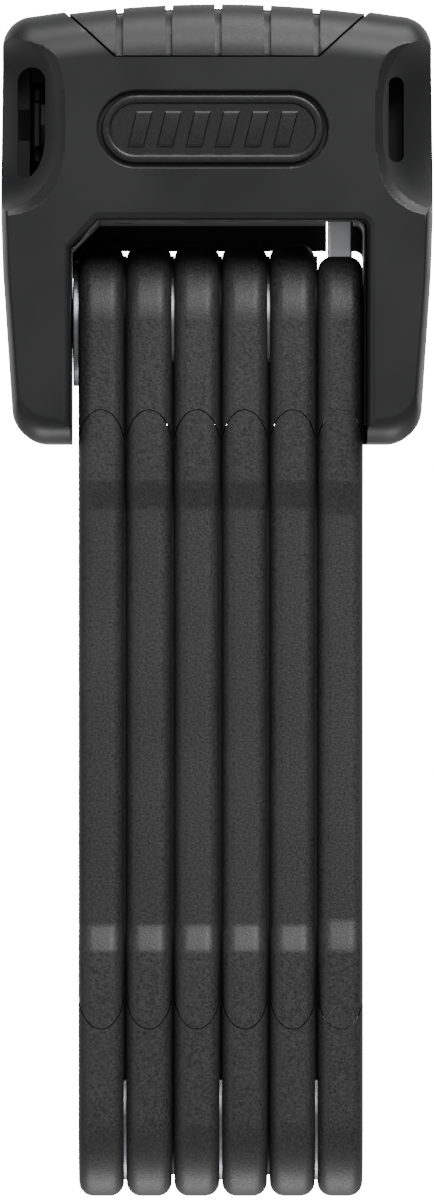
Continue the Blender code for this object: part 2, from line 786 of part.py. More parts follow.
def make_last_steel(name):
    """The sixth bar, whose top end is drawn out into the tongue with its eye."""
    outline = bar_outline(JACKET_WALL + GAP, LAST_BAR_SLOPE, FLAT_TOP - 1.3)
    steel = prism(name, outline, -STEEL_HALF, STEEL_HALF, "X")
    tip = PIVOT_SPACING + EYE_HEIGHT
    outline = [(-TONGUE_HALF_WIDTH, PIVOT_SPACING), (TONGUE_HALF_WIDTH, PIVOT_SPACING)]
    outline += arc((0, tip), TONGUE_HALF_WIDTH, 0, 180, 12)
    steel = join(steel, prism("tongue", outline, -TONGUE_HALF, TONGUE_HALF, "X"))
    eye = rod("eye", EYE_RADIUS, -6, 6, "X", (0, tip))
    return cut(steel, eye, rod("rivet_hole", RIVET_RADIUS + GAP, -6, 6, "X", (0, 0)))


def land_outline(inset):
    """An oval around both pivots of a bar, as (y, z) from the lower one."""
    wide = LAND_HALF_WIDTH - inset
    low, high = (reach - inset for reach in LAND_ENDS)
    half = arc((0, 0), (wide, low), -90, 0, 4)
    return mirrored(half + arc((0, PIVOT_SPACING), (wide, high), 0, 90, 4))


def land(name):
    """A raised loop on a jacket's right side, which rests against the next jacket."""
    low, high = STEEL_HALF + GAP + 0.1, BAR_PITCH - JACKET_HALF
    loop = prism(name, land_outline(0), low, high, "X")
    return cut(loop, prism("middle", land_outline(LAND_WIDTH), low - 1, high + 1, "X"))


def jacket(name, slope=SHOULDER_SLOPE, flat_top=None, raised=True):
    """A whole jacket before it is split: a rounded skin around its bar."""
    skin = prism(name, bar_outline(0, slope, flat_top), -JACKET_HALF, JACKET_HALF, "X")
    skin = soften(skin, JACKET_EDGE, 1)
    if raised:
        skin = join(skin, land("land"))
    inner_top = None if flat_top is None else flat_top - 1.0
    half = STEEL_HALF + GAP
    room = prism("room", bar_outline(JACKET_WALL, slope, inner_top), -half, half, "X")
    return cut(skin, room)


def make_sleeve(name, slope=SHOULDER_SLOPE, raised=True):
    return keep_inside(jacket(name, slope, None, raised), sleeve_region("between_seams", 0))


def half_space(name, low, high):
    return box(name, (-20, -20, low), (20, 20, high))


def joint_windows(height, washer_side):
    """Openings in a cap: a wide one for the washer, a smaller one for the rivet's head."""
    inner, outer = STEEL_HALF + GAP / 2, JACKET_HALF + 1
    spans = ((WASHER_WINDOW, washer_side), (RIVET_HEAD + 0.4, -washer_side))
    windows = []
    for radius, side in spans:
        low, high = sorted((side * inner, side * outer))
        windows.append(rod(f"window_{side}", radius, low, high, "X", (0, height), 20))
    return windows


def make_cap(name, at_top, washer_side):
    """One moulded end of a jacket, open where its joint's washer and rivet sit."""
    skin = jacket(name)
    middle = PIVOT_SPACING / 2
    away = half_space("away", -30, middle) if at_top else half_space("away", middle, 170)
    height = PIVOT_SPACING if at_top else 0
    windows = joint_windows(height, washer_side)
    return cut(skin, away, sleeve_region("sleeve_room", GAP), *windows)


def make_last_caps():
    """The sixth bar's two caps: a flat top around the tongue, and a jointed bottom."""
    middle = PIVOT_SPACING / 2
    top = jacket("last_top", LAST_BAR_SLOPE, FLAT_TOP, False)
    tongue = TONGUE_HALF + GAP
    width = TONGUE_HALF_WIDTH + GAP
    opening = box("opening", (-tongue, -width, PIVOT_SPACING), (tongue, width, 170))
    away = half_space("away", -30, middle)
    top = cut(top, away, sleeve_region("sleeve_room", GAP), opening)
    bottom = jacket("last_bottom", LAST_BAR_SLOPE, FLAT_TOP, False)
    away = half_space("away", middle, 170)
    bottom = cut(bottom, away, sleeve_region("sleeve_room", GAP), *joint_windows(0, -1))
    return top, bottom


def rivet_profile(low, high):
    """A rivet from its lower head's face to its upper head's face."""
    thick = RIVET_HEAD_THICKNESS
    upper = [(0, high), (RIVET_HEAD, high), (RIVET_HEAD, high - thick)]
    upper.append((RIVET_RADIUS, high - thick))
    lower = [(RIVET_RADIUS, low + thick), (RIVET_HEAD, low + thick), (RIVET_HEAD, low), (0, low)]
    return upper + lower


def washer(name, thickness):
    half = thickness / 2
    profile = [(WASHER_HOLE, half), (WASHER_RADIUS, half), (WASHER_RADIUS, -half)]
    profile.append((WASHER_HOLE, -half))
    return turned(name, profile, closed=True, steps=20)


# ---------------------------------------------------------------- the assembly


def build_lock_body():
    finish(make_core(), BLACK_STEEL)
    finish(make_front_shell(), BLACK_PLASTIC)
    finish(make_rear_shell(), BLACK_PLASTIC)
    finish(make_grip_pad(), BLACK_RUBBER)
    finish(make_badge(), BLACK_PLASTIC)
    screw = make_screw()
    for i, (x, z) in enumerate(SCREWS, start=1):
        finish(copy_of(screw, f"shell_screw_{i}"), BARE_STEEL, place=(x, 0, z))
    bpy.data.objects.remove(screw)
    finish(make_cover(), BLACK_STEEL, origin=(COVER_LEFT, AXIS_Y, KEY_Z))


def build_cylinder():
    key_axis = (0, AXIS_Y, KEY_Z)
    finish(make_housing(), BARE_STEEL)
    finish(make_retaining_ring(), BARE_STEEL)
    pin = rod("cylinder_pin", 1.3, RECESS_CEILING + GAP, -8.7, "Z", (-15, AXIS_Y), 12)
    finish(pin, BARE_STEEL)
    finish(make_plug(), BRASS, origin=key_axis)
    for i in range(DISC_COUNT):
        disc = make_disc(f"detainer_disc_{i + 1}", FIRST_DISC + i * DISC_PITCH)
        finish(disc, BRASS, origin=key_axis)
    finish(make_sidebar(), BARE_STEEL, origin=key_axis)
    finish(make_cam(), BARE_STEEL, origin=key_axis)
    finish(make_bolt(), PLATED_STEEL, origin=(0, AXIS_Y, BOLT_Z))
    finish(make_bolt_spring(), BARE_STEEL)


def build_bars():
    """Six bars in a chain of pivots. Odd bars hang from the top axis, even ones stand."""
    steel = make_steel("steel")
    sleeve = make_sleeve("sleeve")
    caps = {
        (at_top, side): make_cap(f"cap_{at_top}_{side}", at_top, side)
        for at_top in (True, False)
        for side in (-1, 1)
    }
    models = [steel, sleeve, *caps.values()]
    pivot = None
    pivot_place = (0, 0, 0)
    for number in range(1, BAR_COUNT + 1):
        hangs = number % 2 == 1
        place = (bar_x(number), AXIS_Y, TOP_AXIS_Z if hangs else BOTTOM_AXIS_Z)
        step = [a - b for a, b in zip(place, pivot_place)]
        pivot = add_empty(f"bar_{number}_pivot", pivot, step)
        pivot_place = place
        foot = (0, 0, -PIVOT_SPACING if hangs else 0)
        joint_side = 1 if hangs else -1
        if number < BAR_COUNT:
            pieces = (
                (copy_of(steel, f"bar_{number}_steel"), BLACK_STEEL),
                (copy_of(sleeve, f"bar_{number}_sleeve"), BLACK_COATING),
                (copy_of(caps[False, joint_side], f"bar_{number}_bottom_cap"), BLACK_COATING),
                (copy_of(caps[True, -joint_side], f"bar_{number}_top_cap"), BLACK_COATING),
            )
        else:
            top_cap, bottom_cap = make_last_caps()
            top_cap.name = f"bar_{number}_top_cap"
            bottom_cap.name = f"bar_{number}_bottom_cap"
            pieces = (
                (make_last_steel(f"bar_{number}_steel"), PLATED_STEEL),
                (make_sleeve(f"bar_{number}_sleeve", LAST_BAR_SLOPE, False), BLACK_COATING),
                (top_cap, BLACK_COATING),
                (bottom_cap, BLACK_COATING),
            )
        for piece, look in pieces:
            finish(piece, look, parent=pivot, place=foot)
    for model in models:
        bpy.data.objects.remove(model)


def build_joints():
    """The rivets, from the lock body to the last bar, and the washers between the bars."""
    head = STEEL_HALF + GAP + RIVET_HEAD_THICKNESS
    first = turned("rivet_body_1", rivet_profile(-29.2, bar_x(1) + head))
    finish(first, BLACK_STEEL, place=(0, AXIS_Y, TOP_AXIS_Z))
    outer = bar_x(1) - STEEL_HALF
    body_washer = washer("washer_body_1", outer - RECESS_LEFT - 2 * GAP)
    finish(body_washer, PLATED_STEEL, place=((outer + RECESS_LEFT) / 2, AXIS_Y, TOP_AXIS_Z))
    reach = BAR_PITCH / 2 + head
    for number in range(1, BAR_COUNT):
        height = BOTTOM_AXIS_Z if number % 2 == 1 else TOP_AXIS_Z
        place = (bar_x(number) + BAR_PITCH / 2, AXIS_Y, height)
        pair = f"{number}_{number + 1}"
        finish(turned(f"rivet_{pair}", rivet_profile(-reach, reach)), BLACK_STEEL, place=place)
        thickness = BAR_PITCH - 2 * STEEL_HALF - 2 * GAP
        finish(washer(f"washer_{pair}", thickness), PLATED_STEEL, place=place)


clear_scene()
LOCK = new_collection("folding_bike_lock")
CUTTERS = new_collection("cutters")
build_lock_body()
build_cylinder()
build_bars()
build_joints()
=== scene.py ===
import json
import math

import bmesh
import bpy
from mathutils import Matrix, Vector


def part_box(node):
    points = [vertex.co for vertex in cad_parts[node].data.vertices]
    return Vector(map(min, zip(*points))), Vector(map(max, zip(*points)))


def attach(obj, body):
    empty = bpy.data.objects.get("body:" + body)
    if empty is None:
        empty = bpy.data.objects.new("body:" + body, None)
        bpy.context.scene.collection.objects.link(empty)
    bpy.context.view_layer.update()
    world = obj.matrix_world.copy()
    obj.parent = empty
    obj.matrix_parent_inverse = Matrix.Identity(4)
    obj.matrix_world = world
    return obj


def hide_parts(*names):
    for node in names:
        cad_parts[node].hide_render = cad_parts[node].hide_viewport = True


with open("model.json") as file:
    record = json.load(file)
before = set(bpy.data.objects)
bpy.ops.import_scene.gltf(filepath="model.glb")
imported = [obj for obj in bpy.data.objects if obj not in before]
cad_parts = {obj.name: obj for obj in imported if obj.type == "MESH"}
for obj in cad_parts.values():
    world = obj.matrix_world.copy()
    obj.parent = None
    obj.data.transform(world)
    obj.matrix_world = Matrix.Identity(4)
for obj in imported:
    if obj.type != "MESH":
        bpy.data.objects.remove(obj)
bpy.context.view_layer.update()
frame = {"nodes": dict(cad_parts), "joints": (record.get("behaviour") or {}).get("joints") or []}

MM = 0.001
JOINTS = {joint["name"]: joint for joint in frame["joints"]}
TOP_PIVOT = Vector(JOINTS["pivot_1"]["pos_m"]) / MM
BOTTOM_PIVOT = Vector(JOINTS["pivot_2"]["pos_m"]) / MM
KEY_AXIS = Vector(JOINTS["key_turn"]["pos_m"]) / MM
BAR_COUNT = 6
BARS = range(1, BAR_COUNT + 1)

# The lock body: its outline, and how its ends are rounded (side, top, bottom, depth)
HEAD_HALF_WIDTH = 34.25
HEAD_TOP = 18.0
HEAD_BOTTOM = -52.0
HEAD_DEPTH = 38.0
ARCH_RADIUS = 182.0
CORNER_X = 29.0
TOP_CORNER_RADIUS = 5.0
FOOT_CORNER = (27.0, -46.5)
FOOT_CORNER_RADIUS = 5.5
SIDE_POINTS = ((33.95, -25.0), (34.25, -16.0), (34.25, -9.0), (34.0, 8.0))
FRONT_ROUNDING = (1.4, 8.0, 4.0, 7.5)
REAR_ROUNDING = (1.5, 3.0, 3.0, 4.0)
ROUNDING_STEPS = 12
PARTING_GAP = 0.12

# Its recess, and the room for the steel core behind the shells
RECESS_LEFT = -23.2
RECESS_RIGHT = 23.8
RECESS_CEILING = -16.8
REAR_LIP_CEILING = -20.8
REAR_RECESS_RIGHT = 23.4
RECESS_CHAMFER = 4.4
RECESS_CORNER = 1.3
RECESS_EDGE = 1.3
CORE_ROOM = (29.8, -49.3, 13.5, -35.3, -2.7)  # half width, bottom, top, front, rear

# Scoops across the front corners
LEFT_SCOOP_X = -41.0
RIGHT_SCOOP_X = 42.0
SCOOP_Y = -44.8
SCOOP_Z = -1.2
SCOOP_RADIUS = 17.5
SCOOP_HEIGHT = 15.4
SCOOP_POWER = 3.0
SCOOP_EASE = (7.6, 7.9)
SCOOP_EASE_HEIGHT = 20.2
THUMB_TOP = (-29.4, 5.3)  # centres of the three arcs round the thumb slot
THUMB_BELLY = (-30.6, -3.0)
THUMB_FOOT = (-30.6, -9.1)
THUMB_TOP_RADIUS = 2.2
THUMB_BELLY_RADII = (3.4, 7.1)
THUMB_FOOT_RADIUS = 1.0
THUMB_SLOT_END = -25
BRACKET_SLOT_CENTRE = (28.4, -0.85)
BRACKET_SLOT_SIZE = (2.4, 13.5)
BRACKET_SLOT_END = -26

# Grip pad and badge
PAD_SHAPE = (
    (-16.0, 9.2), (16.0, 9.2), (24.2, 16.8), (24.2, 22.0), (-24.2, 22.0), (-24.2, 16.8),
)
PAD_REAR = -8.0
TILE_CENTRE = 0.2
TILE_PITCH = 7.8
GROOVE_WIDTH = 1.1
GROOVE_COUNT = 5
BADGE_CENTRE = (-0.65, -2.4)
BADGE_SIZE = (35.1, 10.8)
BADGE_FRONT = -37.8
BADGE_SEAT = -36.7
BADGE_BARS = 6
BADGE_BAR_PITCH = 4.6

# Bars: outline beside the flat, thickness, and the seams between sleeve and caps
SKIN_HALF = 3.6
SKIN_EDGE = 2.3
SKIN_RADIUS = 12.6
SKIN_WAIST = 11.0
SKIN_WALL = 1.0
ROOM_HALF = 2.9
LAND_HALF_WIDTH = 8.0
LAND_ENDS = (9.2, 10.8)
LAND_WIDTH = 1.2
TOP_SHOULDER = 25.0
BOTTOM_SHOULDER = 26.4
SHOULDER_SLOPE = 4.9
LAST_BAR_SLOPE = 5.8
LAST_BAR_TOP = 10.5
SEAM_HALF_WIDTH = 3.75
SEAM_HEIGHT = 6.7
TOP_SEAM = 20.7
BOTTOM_SEAM = 21.2
SEAM_GAP = 0.14
STEEL_HALF = 2.75
WASHER_WINDOW = 10.4
RIVET_WINDOW = 6.6
RIVET_HEAD = 6.2
RIVET_SHANK = 4.0
RIVET_RISE = 0.4
TONGUE_HALF = 1.9
TONGUE_WIDTH = 6.5
EYE_HEIGHT = 25.0
EYE_RADIUS = 3.7

SCREWS = ((-24.5, 9.9), (24.5, 9.9), (-26.35, -44.0), (26.65, -44.0))

TURN = {
    "X": Matrix(((0, 0, 1, 0), (1, 0, 0, 0), (0, 1, 0, 0), (0, 0, 0, 1))),
    "Y": Matrix(((1, 0, 0, 0), (0, 0, -1, 0), (0, 1, 0, 0), (0, 0, 0, 1))),
    "Z": Matrix.Identity(4),
}


# ---------------------------------------------------------------- shader nodes


class Value:
    """A socket whose arithmetic adds Math nodes to its tree."""

    def __init__(self, tree, socket):
        self.tree = tree
        self.socket = socket

    def apply(self, operation, first, second):
        node = self.tree.nodes.new("ShaderNodeMath")
        node.operation = operation
        for place, value in zip(node.inputs, (first, second)):
            if isinstance(value, Value):
                self.tree.links.new(value.socket, place)
            else:
                place.default_value = value
        return Value(self.tree, node.outputs[0])

    def __add__(self, other):
        return self.apply("ADD", self, other)

    def __sub__(self, other):
        return self.apply("SUBTRACT", self, other)

    def __rsub__(self, other):
        return self.apply("SUBTRACT", other, self)

    def __mul__(self, other):
        return self.apply("MULTIPLY", self, other)

    __radd__ = __add__
    __rmul__ = __mul__


class Finish:
    """A material under construction."""

    def __init__(self, name, roughness, metallic=0.0, **fixed):
        self.material = bpy.data.materials.new(name)
        self.material.use_nodes = True
        self.tree = self.material.node_tree
        self.shader = self.tree.nodes["Principled BSDF"]
        self.shader.inputs["Roughness"].default_value = roughness
        self.shader.inputs["Metallic"].default_value = metallic
        for socket, value in fixed.items():
            self.shader.inputs[socket.replace("_", " ")].default_value = value

    def node(self, kind, settings=None, inputs=None, output=0):
        """Adds any node, with its settings first, and returns one of its outputs."""
        node = self.tree.nodes.new(kind)
        for name, value in (settings or {}).items():
            setattr(node, name, value)
        for name, value in (inputs or {}).items():
            if isinstance(value, Value):
                self.tree.links.new(value.socket, node.inputs[name])
            else:
                node.inputs[name].default_value = value
        return Value(self.tree, node.outputs[output])

    def place(self, scale=(1, 1, 1)):
        """Object coordinates, stretched along an axis by a small scale."""
        coordinates = self.node("ShaderNodeTexCoord", output="Object")
        return self.node("ShaderNodeMapping", None, {"Vector": coordinates, "Scale": scale})

    def noise(self, scale, detail=3.0, stretch=(1, 1, 1)):
        where = self.place(stretch)
        return self.node(
            "ShaderNodeTexNoise", None, {"Vector": where, "Scale": scale, "Detail": detail}
        )

    def ranged(self, value, low, high, to_low, to_high):
        names = ("From Min", "From Max", "To Min", "To Max")
        inputs = dict(zip(names, (low, high, to_low, to_high)), Value=value)
        return self.node("ShaderNodeMapRange", None, inputs)

    def between(self, factor, dark, light):
        """A colour between two, by a factor."""
        node = self.tree.nodes.new("ShaderNodeMix")
        node.data_type = "RGBA"
        self.tree.links.new(factor.socket, node.inputs[0])
        node.inputs[6].default_value = (*dark, 1)
        node.inputs[7].default_value = (*light, 1)
        return Value(self.tree, node.outputs[2])

    def bump(self, height, distance, strength=1.0):
        inputs = {"Height": height, "Distance": distance, "Strength": strength}
        self.set("Normal", self.node("ShaderNodeBump", None, inputs))

    def set(self, socket, value):
        self.tree.links.new(value.socket, self.shader.inputs[socket])


def satin_plastic():
    """Black moulded nylon: an even, faint grain and slow changes of sheen."""
    finish = Finish("satin_plastic", 0.4, IOR=1.46)
    slow = finish.noise(55, 2)
    grain = finish.noise(2600, 2)
    tone = finish.between(slow, (0.0075, 0.0077, 0.0085), (0.0115, 0.0117, 0.0125))
    finish.set("Base Color", tone)
    finish.set("Roughness", finish.ranged(slow, 0.3, 0.7, 0.36, 0.46) + grain * 0.04)
    finish.bump(grain, 0.00002, 0.35)
    return finish.material


def grip_rubber():
    """Soft black rubber, a little paler and duller than the shells."""
    finish = Finish("grip_rubber", 0.5, IOR=1.5)
    slow = finish.noise(70, 2)
    grain = finish.noise(3200, 3)
    finish.set("Base Color", finish.between(slow, (0.010, 0.010, 0.011), (0.017, 0.017, 0.018)))
    finish.set("Roughness", finish.ranged(grain, 0.3, 0.7, 0.4, 0.54))
    finish.bump(grain, 0.00003, 0.5)
    return finish.material


def badge_plastic():
    finish = Finish("badge_plastic", 0.38, IOR=1.46)
    grain = finish.noise(3000, 2)
    finish.set("Base Color", finish.between(grain, (0.008, 0.008, 0.009), (0.012, 0.012, 0.013)))
    finish.set("Roughness", finish.ranged(grain, 0.3, 0.7, 0.32, 0.44))
    finish.bump(grain, 0.00002, 0.3)
    return finish.material


def grained_coating():
    """The bars' skin: a fine leathery grain with a paler fleck on its high spots."""
    finish = Finish("grained_coating", 0.5, IOR=1.5)
    where = finish.place()
    cells = finish.node(
        "ShaderNodeTexVoronoi", {"feature": "SMOOTH_F1"}, {"Vector": where, "Scale": 3200.0}
    )
    fleck = finish.noise(2800, 3)
    slow = finish.noise(40, 2)
    height = cells * 0.6 + fleck * 0.8
    tone = finish.ranged(fleck + slow * 0.25, 0.45, 0.8, 0.0, 1.0)
    finish.set("Base Color", finish.between(tone, (0.010, 0.010, 0.0105), (0.034, 0.034, 0.034)))
    finish.set("Roughness", finish.ranged(fleck, 0.3, 0.7, 0.42, 0.6))
    finish.bump(height, 0.00006, 0.7)
    return finish.material


def black_steel():
    """Hardened steel under a thin black finish."""
    finish = Finish("black_steel", 0.45, 0.3)
    slow = finish.noise(120, 4)
    fine = finish.noise(1800, 2)
    finish.set("Base Color", finish.between(slow, (0.006, 0.006, 0.007), (0.013, 0.013, 0.014)))
    finish.set("Roughness", finish.ranged(slow, 0.3, 0.7, 0.38, 0.55))
    finish.bump(fine, 0.00002, 0.4)
    return finish.material


def plated_steel():
    """Bright plating over fine lengthways grinding marks."""
    finish = Finish("plated_steel", 0.38, 1.0)
    marks = finish.noise(900, 3, (1.0, 6.0, 0.12))
    cloud = finish.noise(160, 2)
    finish.set("Base Color", finish.between(cloud, (0.78, 0.79, 0.82), (0.92, 0.92, 0.94)))
    finish.set("Roughness", finish.ranged(marks, 0.3, 0.7, 0.3, 0.46))
    finish.bump(marks, 0.00001, 0.4)
    return finish.material


def bright_steel():
    finish = Finish("bright_steel", 0.3, 1.0)
    marks = finish.noise(1400, 3, (0.3, 1.0, 1.0))
    finish.set("Base Color", finish.between(marks, (0.3, 0.31, 0.33), (0.46, 0.46, 0.48)))
    finish.set("Roughness", finish.ranged(marks, 0.3, 0.7, 0.34, 0.5))
    finish.bump(marks, 0.00001, 0.5)
    return finish.material


def machined_brass():
    finish = Finish("machined_brass", 0.3, 1.0)
    marks = finish.noise(1200, 3, (0.2, 1.0, 1.0))
    finish.set("Base Color", finish.between(marks, (0.55, 0.39, 0.15), (0.74, 0.57, 0.27)))
    finish.set("Roughness", finish.ranged(marks, 0.3, 0.7, 0.22, 0.4))
    finish.bump(marks, 0.00001, 0.4)
    return finish.material


# ---------------------------------------------------------------- making meshes


def new_object(name, mesh):
    thing = bpy.data.objects.new(name, mesh)
    bpy.context.scene.collection.objects.link(thing)
    return thing


def from_bmesh(name, shape):
    bmesh.ops.recalc_face_normals(shape, faces=shape.faces)
    mesh = bpy.data.meshes.new(name)
    shape.to_mesh(mesh)
    shape.free()
    return new_object(name, mesh)


def bake(thing, weld=0.000001):
    """A plain mesh in place of an object's modifiers or its curve."""
    graph = bpy.context.evaluated_depsgraph_get()
    mesh = bpy.data.meshes.new_from_object(thing.evaluated_get(graph))
    shape = bmesh.new()
    shape.from_mesh(mesh)
    bmesh.ops.remove_doubles(shape, verts=shape.verts, dist=weld)
    shape.to_mesh(mesh)
    shape.free()
    name = thing.name
    bpy.data.objects.remove(thing)
    return new_object(name, mesh)


def stand(axis, along):
    sign = -1 if axis == "Y" else 1
    return TURN[axis] @ Matrix.Translation((0, 0, sign * along * MM))


def prism(name, outline, low, high, axis):
    """A flat outline with a thickness: (y, z) points on X, (x, z) on Y, (x, y) on Z."""
    shape = bmesh.new()
    half = (high - low) / 2 * MM
    rings = []
    for level in (-half, half):
        rings.append([shape.verts.new((u * MM, v * MM, level)) for u, v in outline])
    skin(shape, rings)
    shape.transform(stand(axis, (low + high) / 2))
    return from_bmesh(name, shape)


def rod(name, radius, low, high, axis, centre, sides=48):
    shape = bmesh.new()
    place = Matrix.Translation((centre[0] * MM, centre[1] * MM, 0))
    bmesh.ops.create_cone(
        shape,
        cap_ends=True,
        segments=sides,
        radius1=radius * MM,
        radius2=radius * MM,
        depth=(high - low) * MM,
        matrix=stand(axis, (low + high) / 2) @ place,
    )
    return from_bmesh(name, shape)


def box(name, low, high):
    middle = [(a + b) / 2 * MM for a, b in zip(low, high)]
    size = [(b - a) * MM for a, b in zip(low, high)]
    place = Matrix.Translation(middle) @ Matrix.Diagonal((*size, 1))
    shape = bmesh.new()
    bmesh.ops.create_cube(shape, size=1, matrix=place)
    return from_bmesh(name, shape)


def turned(name, profile, steps=48):
    """A round piece about X from (radius, x) points that run down its outer side."""
    mesh = bpy.data.meshes.new(name)
    corners = [(radius * MM, 0, along * MM) for radius, along in profile]
    mesh.from_pydata(corners, [(i, i + 1) for i in range(len(corners) - 1)], [])
    piece = new_object(name, mesh)
    spin = piece.modifiers.new("spin", "SCREW")
    spin.steps = steps
    spin.render_steps = steps
    spin.use_merge_vertices = True
    spin.merge_threshold = 0.000001
    piece = bake(piece)
    piece.data.transform(TURN["X"])
    return piece


def skin(shape, rings):
    """Faces between rings of the same number of points, and a face on each end."""
    count = len(rings[0])
    for near, far in zip(rings, rings[1:]):
        for i in range(count):
            j = (i + 1) % count
            shape.faces.new((near[i], near[j], far[j], far[i]))
    shape.faces.new(rings[0])
    shape.faces.new(rings[-1])


def loft(name, sections):
    shape = bmesh.new()
    skin(shape, [[shape.verts.new([v * MM for v in p]) for p in ring] for ring in sections])
    return from_bmesh(name, shape)


def combine(target, operation, tools):
    for tool in tools:
        step = target.modifiers.new(operation, "BOOLEAN")
        step.operation = operation
        step.solver = "EXACT"
        step.object = tool
    target = bake(target)
    for tool in tools:
        bpy.data.objects.remove(tool)
    return target


def cut(target, *tools):
    return combine(target, "DIFFERENCE", tools)


def join(target, *tools):
    return combine(target, "UNION", tools)


def keep_inside(target, tool):
    return combine(target, "INTERSECT", (tool,))


def soften(thing, width, segments=2, angle=40):
    """Rounds the edges that are sharper than an angle."""
    bevel = thing.modifiers.new("soften", "BEVEL")
    bevel.limit_method = "ANGLE"
    bevel.angle_limit = math.radians(angle)
    bevel.width = width * MM
    bevel.segments = segments
    bevel.use_clamp_overlap = True
    return bake(thing)


def finished(thing, material, body, slot, *nodes):
    """Shades a piece, gives it its material, hangs it on the body it rides on, and hides the imported
    parts it replaces.
    """
    thing.data.materials.clear()
    thing.data.materials.append(material)
    thing.data.shade_smooth()
    thing.data.set_sharp_from_angle(angle=math.radians(35))
    even = thing.modifiers.new("even_shading", "WEIGHTED_NORMAL")
    even.keep_sharp = True
    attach(thing, body)
    if nodes:
        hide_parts(*nodes)
    return thing


# ---------------------------------------------------------------- outlines


def arc(centre, radius, start, end, steps):
    wide, high = radius if isinstance(radius, tuple) else (radius, radius)
    points = []
    for i in range(steps + 1):
        angle = math.radians(start + (end - start) * i / steps)
        points.append((centre[0] + wide * math.cos(angle), centre[1] + high * math.sin(angle)))
    return points


def mirrored(half):
    return half + [(-x, z) for x, z in reversed(half) if abs(x) > 0.01]


def stadium(centre, size, steps=24):
    length, height = size
    radius = height / 2
    reach = length / 2 - radius
    right = arc((centre[0] + reach, centre[1]), radius, -90, 90, steps)
    return right + arc((centre[0] - reach, centre[1]), radius, 90, 270, steps)


def head_outline():
    half = [(x, HEAD_BOTTOM) for x in (6.0, 16.0)]
    half += arc(FOOT_CORNER, FOOT_CORNER_RADIUS, -90, -5, 14)
    previous = half[-1]
    for point in SIDE_POINTS:
        for i in (1, 2, 3):
            half.append(tuple(a + (b - a) * i / 3 for a, b in zip(previous, point)))
        previous = point
    corner_top = HEAD_TOP - CORNER_X**2 / (2 * ARCH_RADIUS)
    half += arc((CORNER_X, corner_top - TOP_CORNER_RADIUS), TOP_CORNER_RADIUS, 0, 82, 14)
    half += [(x, HEAD_TOP - x**2 / (2 * ARCH_RADIUS)) for x in range(28, -1, -2)]
    return mirrored(half)


HEAD_OUTLINE = head_outline()


def head_section(y, side, top, bottom):
    width = (HEAD_HALF_WIDTH - side) / HEAD_HALF_WIDTH
    height = (HEAD_TOP - HEAD_BOTTOM - top - bottom) / (HEAD_TOP - HEAD_BOTTOM)
    return [
        (x * width, y, HEAD_BOTTOM + bottom + (z - HEAD_BOTTOM) * height) for x, z in HEAD_OUTLINE
    ]


def rounded_end(face_y, inward, rounding, inset):
    side, top, bottom, depth = rounding
    sections = []
    for i in range(ROUNDING_STEPS + 1):
        angle = math.radians(90 * i / ROUNDING_STEPS)
        drawn = 1 - math.sin(angle)
        y = face_y + inward * (inset + depth * (1 - math.cos(angle)))
        sections.append(
            head_section(y, side * drawn + inset, top * drawn + inset, bottom * drawn + inset)
        )
    return sections


def head_solid(name, front=True, rear=True, inset=0.0):
    """The lock body's outer form, whole or one half of it, with an even inset."""
    middle = -HEAD_DEPTH / 2
    sections = []
    if front:
        sections += rounded_end(-HEAD_DEPTH, 1, FRONT_ROUNDING, inset)
    if not rear:
        sections.append(head_section(middle - PARTING_GAP / 2, inset, inset, inset))
    if not front:
        sections.append(head_section(middle + PARTING_GAP / 2, inset, inset, inset))
    if rear:
        sections += reversed(rounded_end(0, -1, REAR_ROUNDING, inset))
    return loft(name, sections)


def recess_outline(ceiling, right_wall, grow):
    """The recess seen from the front, grown evenly on all but its open side."""
    left, right, top = RECESS_LEFT - grow, right_wall + grow, ceiling + grow
    chamfer = RECESS_CHAMFER + 0.586 * grow
    foot = HEAD_BOTTOM - 3
    corner_centre = (right_wall - RECESS_CORNER, ceiling - RECESS_CORNER)
    corner = arc(corner_centre, RECESS_CORNER + grow, 0, 90, 6)
    return [(left, foot), (right, foot), *corner, (left + chamfer, top), (left, top - chamfer)]


def recess_cutter(ceiling, right_wall, face_y, inward, far_y):
    """The recess with its rim rounded over where it meets a shell's face."""
    sections = []
    for i in range(8):
        angle = math.radians(90 * i / 7)
        grow = RECESS_EDGE * (1 - math.sin(angle))
        y = face_y + inward * RECESS_EDGE * (1 - math.cos(angle))
        sections.append([(x, y, z) for x, z in recess_outline(ceiling, right_wall, grow)])
    first = [(x, face_y - inward * 2, z) for x, _, z in sections[0]]
    last = [(x, far_y, z) for x, _, z in sections[-1]]
    return loft("recess", [first, *sections, last])


def bar_outline(inset, slope=SHOULDER_SLOPE, flat_top=None):
    """A bar's outline beside its flat, as (y, z) from its lower pivot."""
    spacing = TOP_PIVOT.z - BOTTOM_PIVOT.z
    radius = SKIN_RADIUS - inset
    waist = SKIN_WAIST - inset
    top = spacing - TOP_SHOULDER
    half = arc((0, 0), radius, -90, 0, 18)
    half += eased((radius, BOTTOM_SHOULDER), (waist, BOTTOM_SHOULDER + slope))
    half += eased((waist, top - slope), (radius, top))
    end = 90 if flat_top is None else math.degrees(math.asin(flat_top / radius))
    half += arc((0, spacing), radius, 0, end, 18)
    return mirrored(half)


def eased(start, end, steps=6):
    """Points on a smooth step between two, flat at both ends."""
    points = []
    for i in range(steps + 1):
        t = i / steps
        blend = (1 - math.cos(math.pi * t)) / 2
        blend = 0.75 * t + 0.25 * blend
        points.append((start[0] + (end[0] - start[0]) * blend, start[1] + (end[1] - start[1]) * t))
    return points


# ---------------------------------------------------------------- lock body


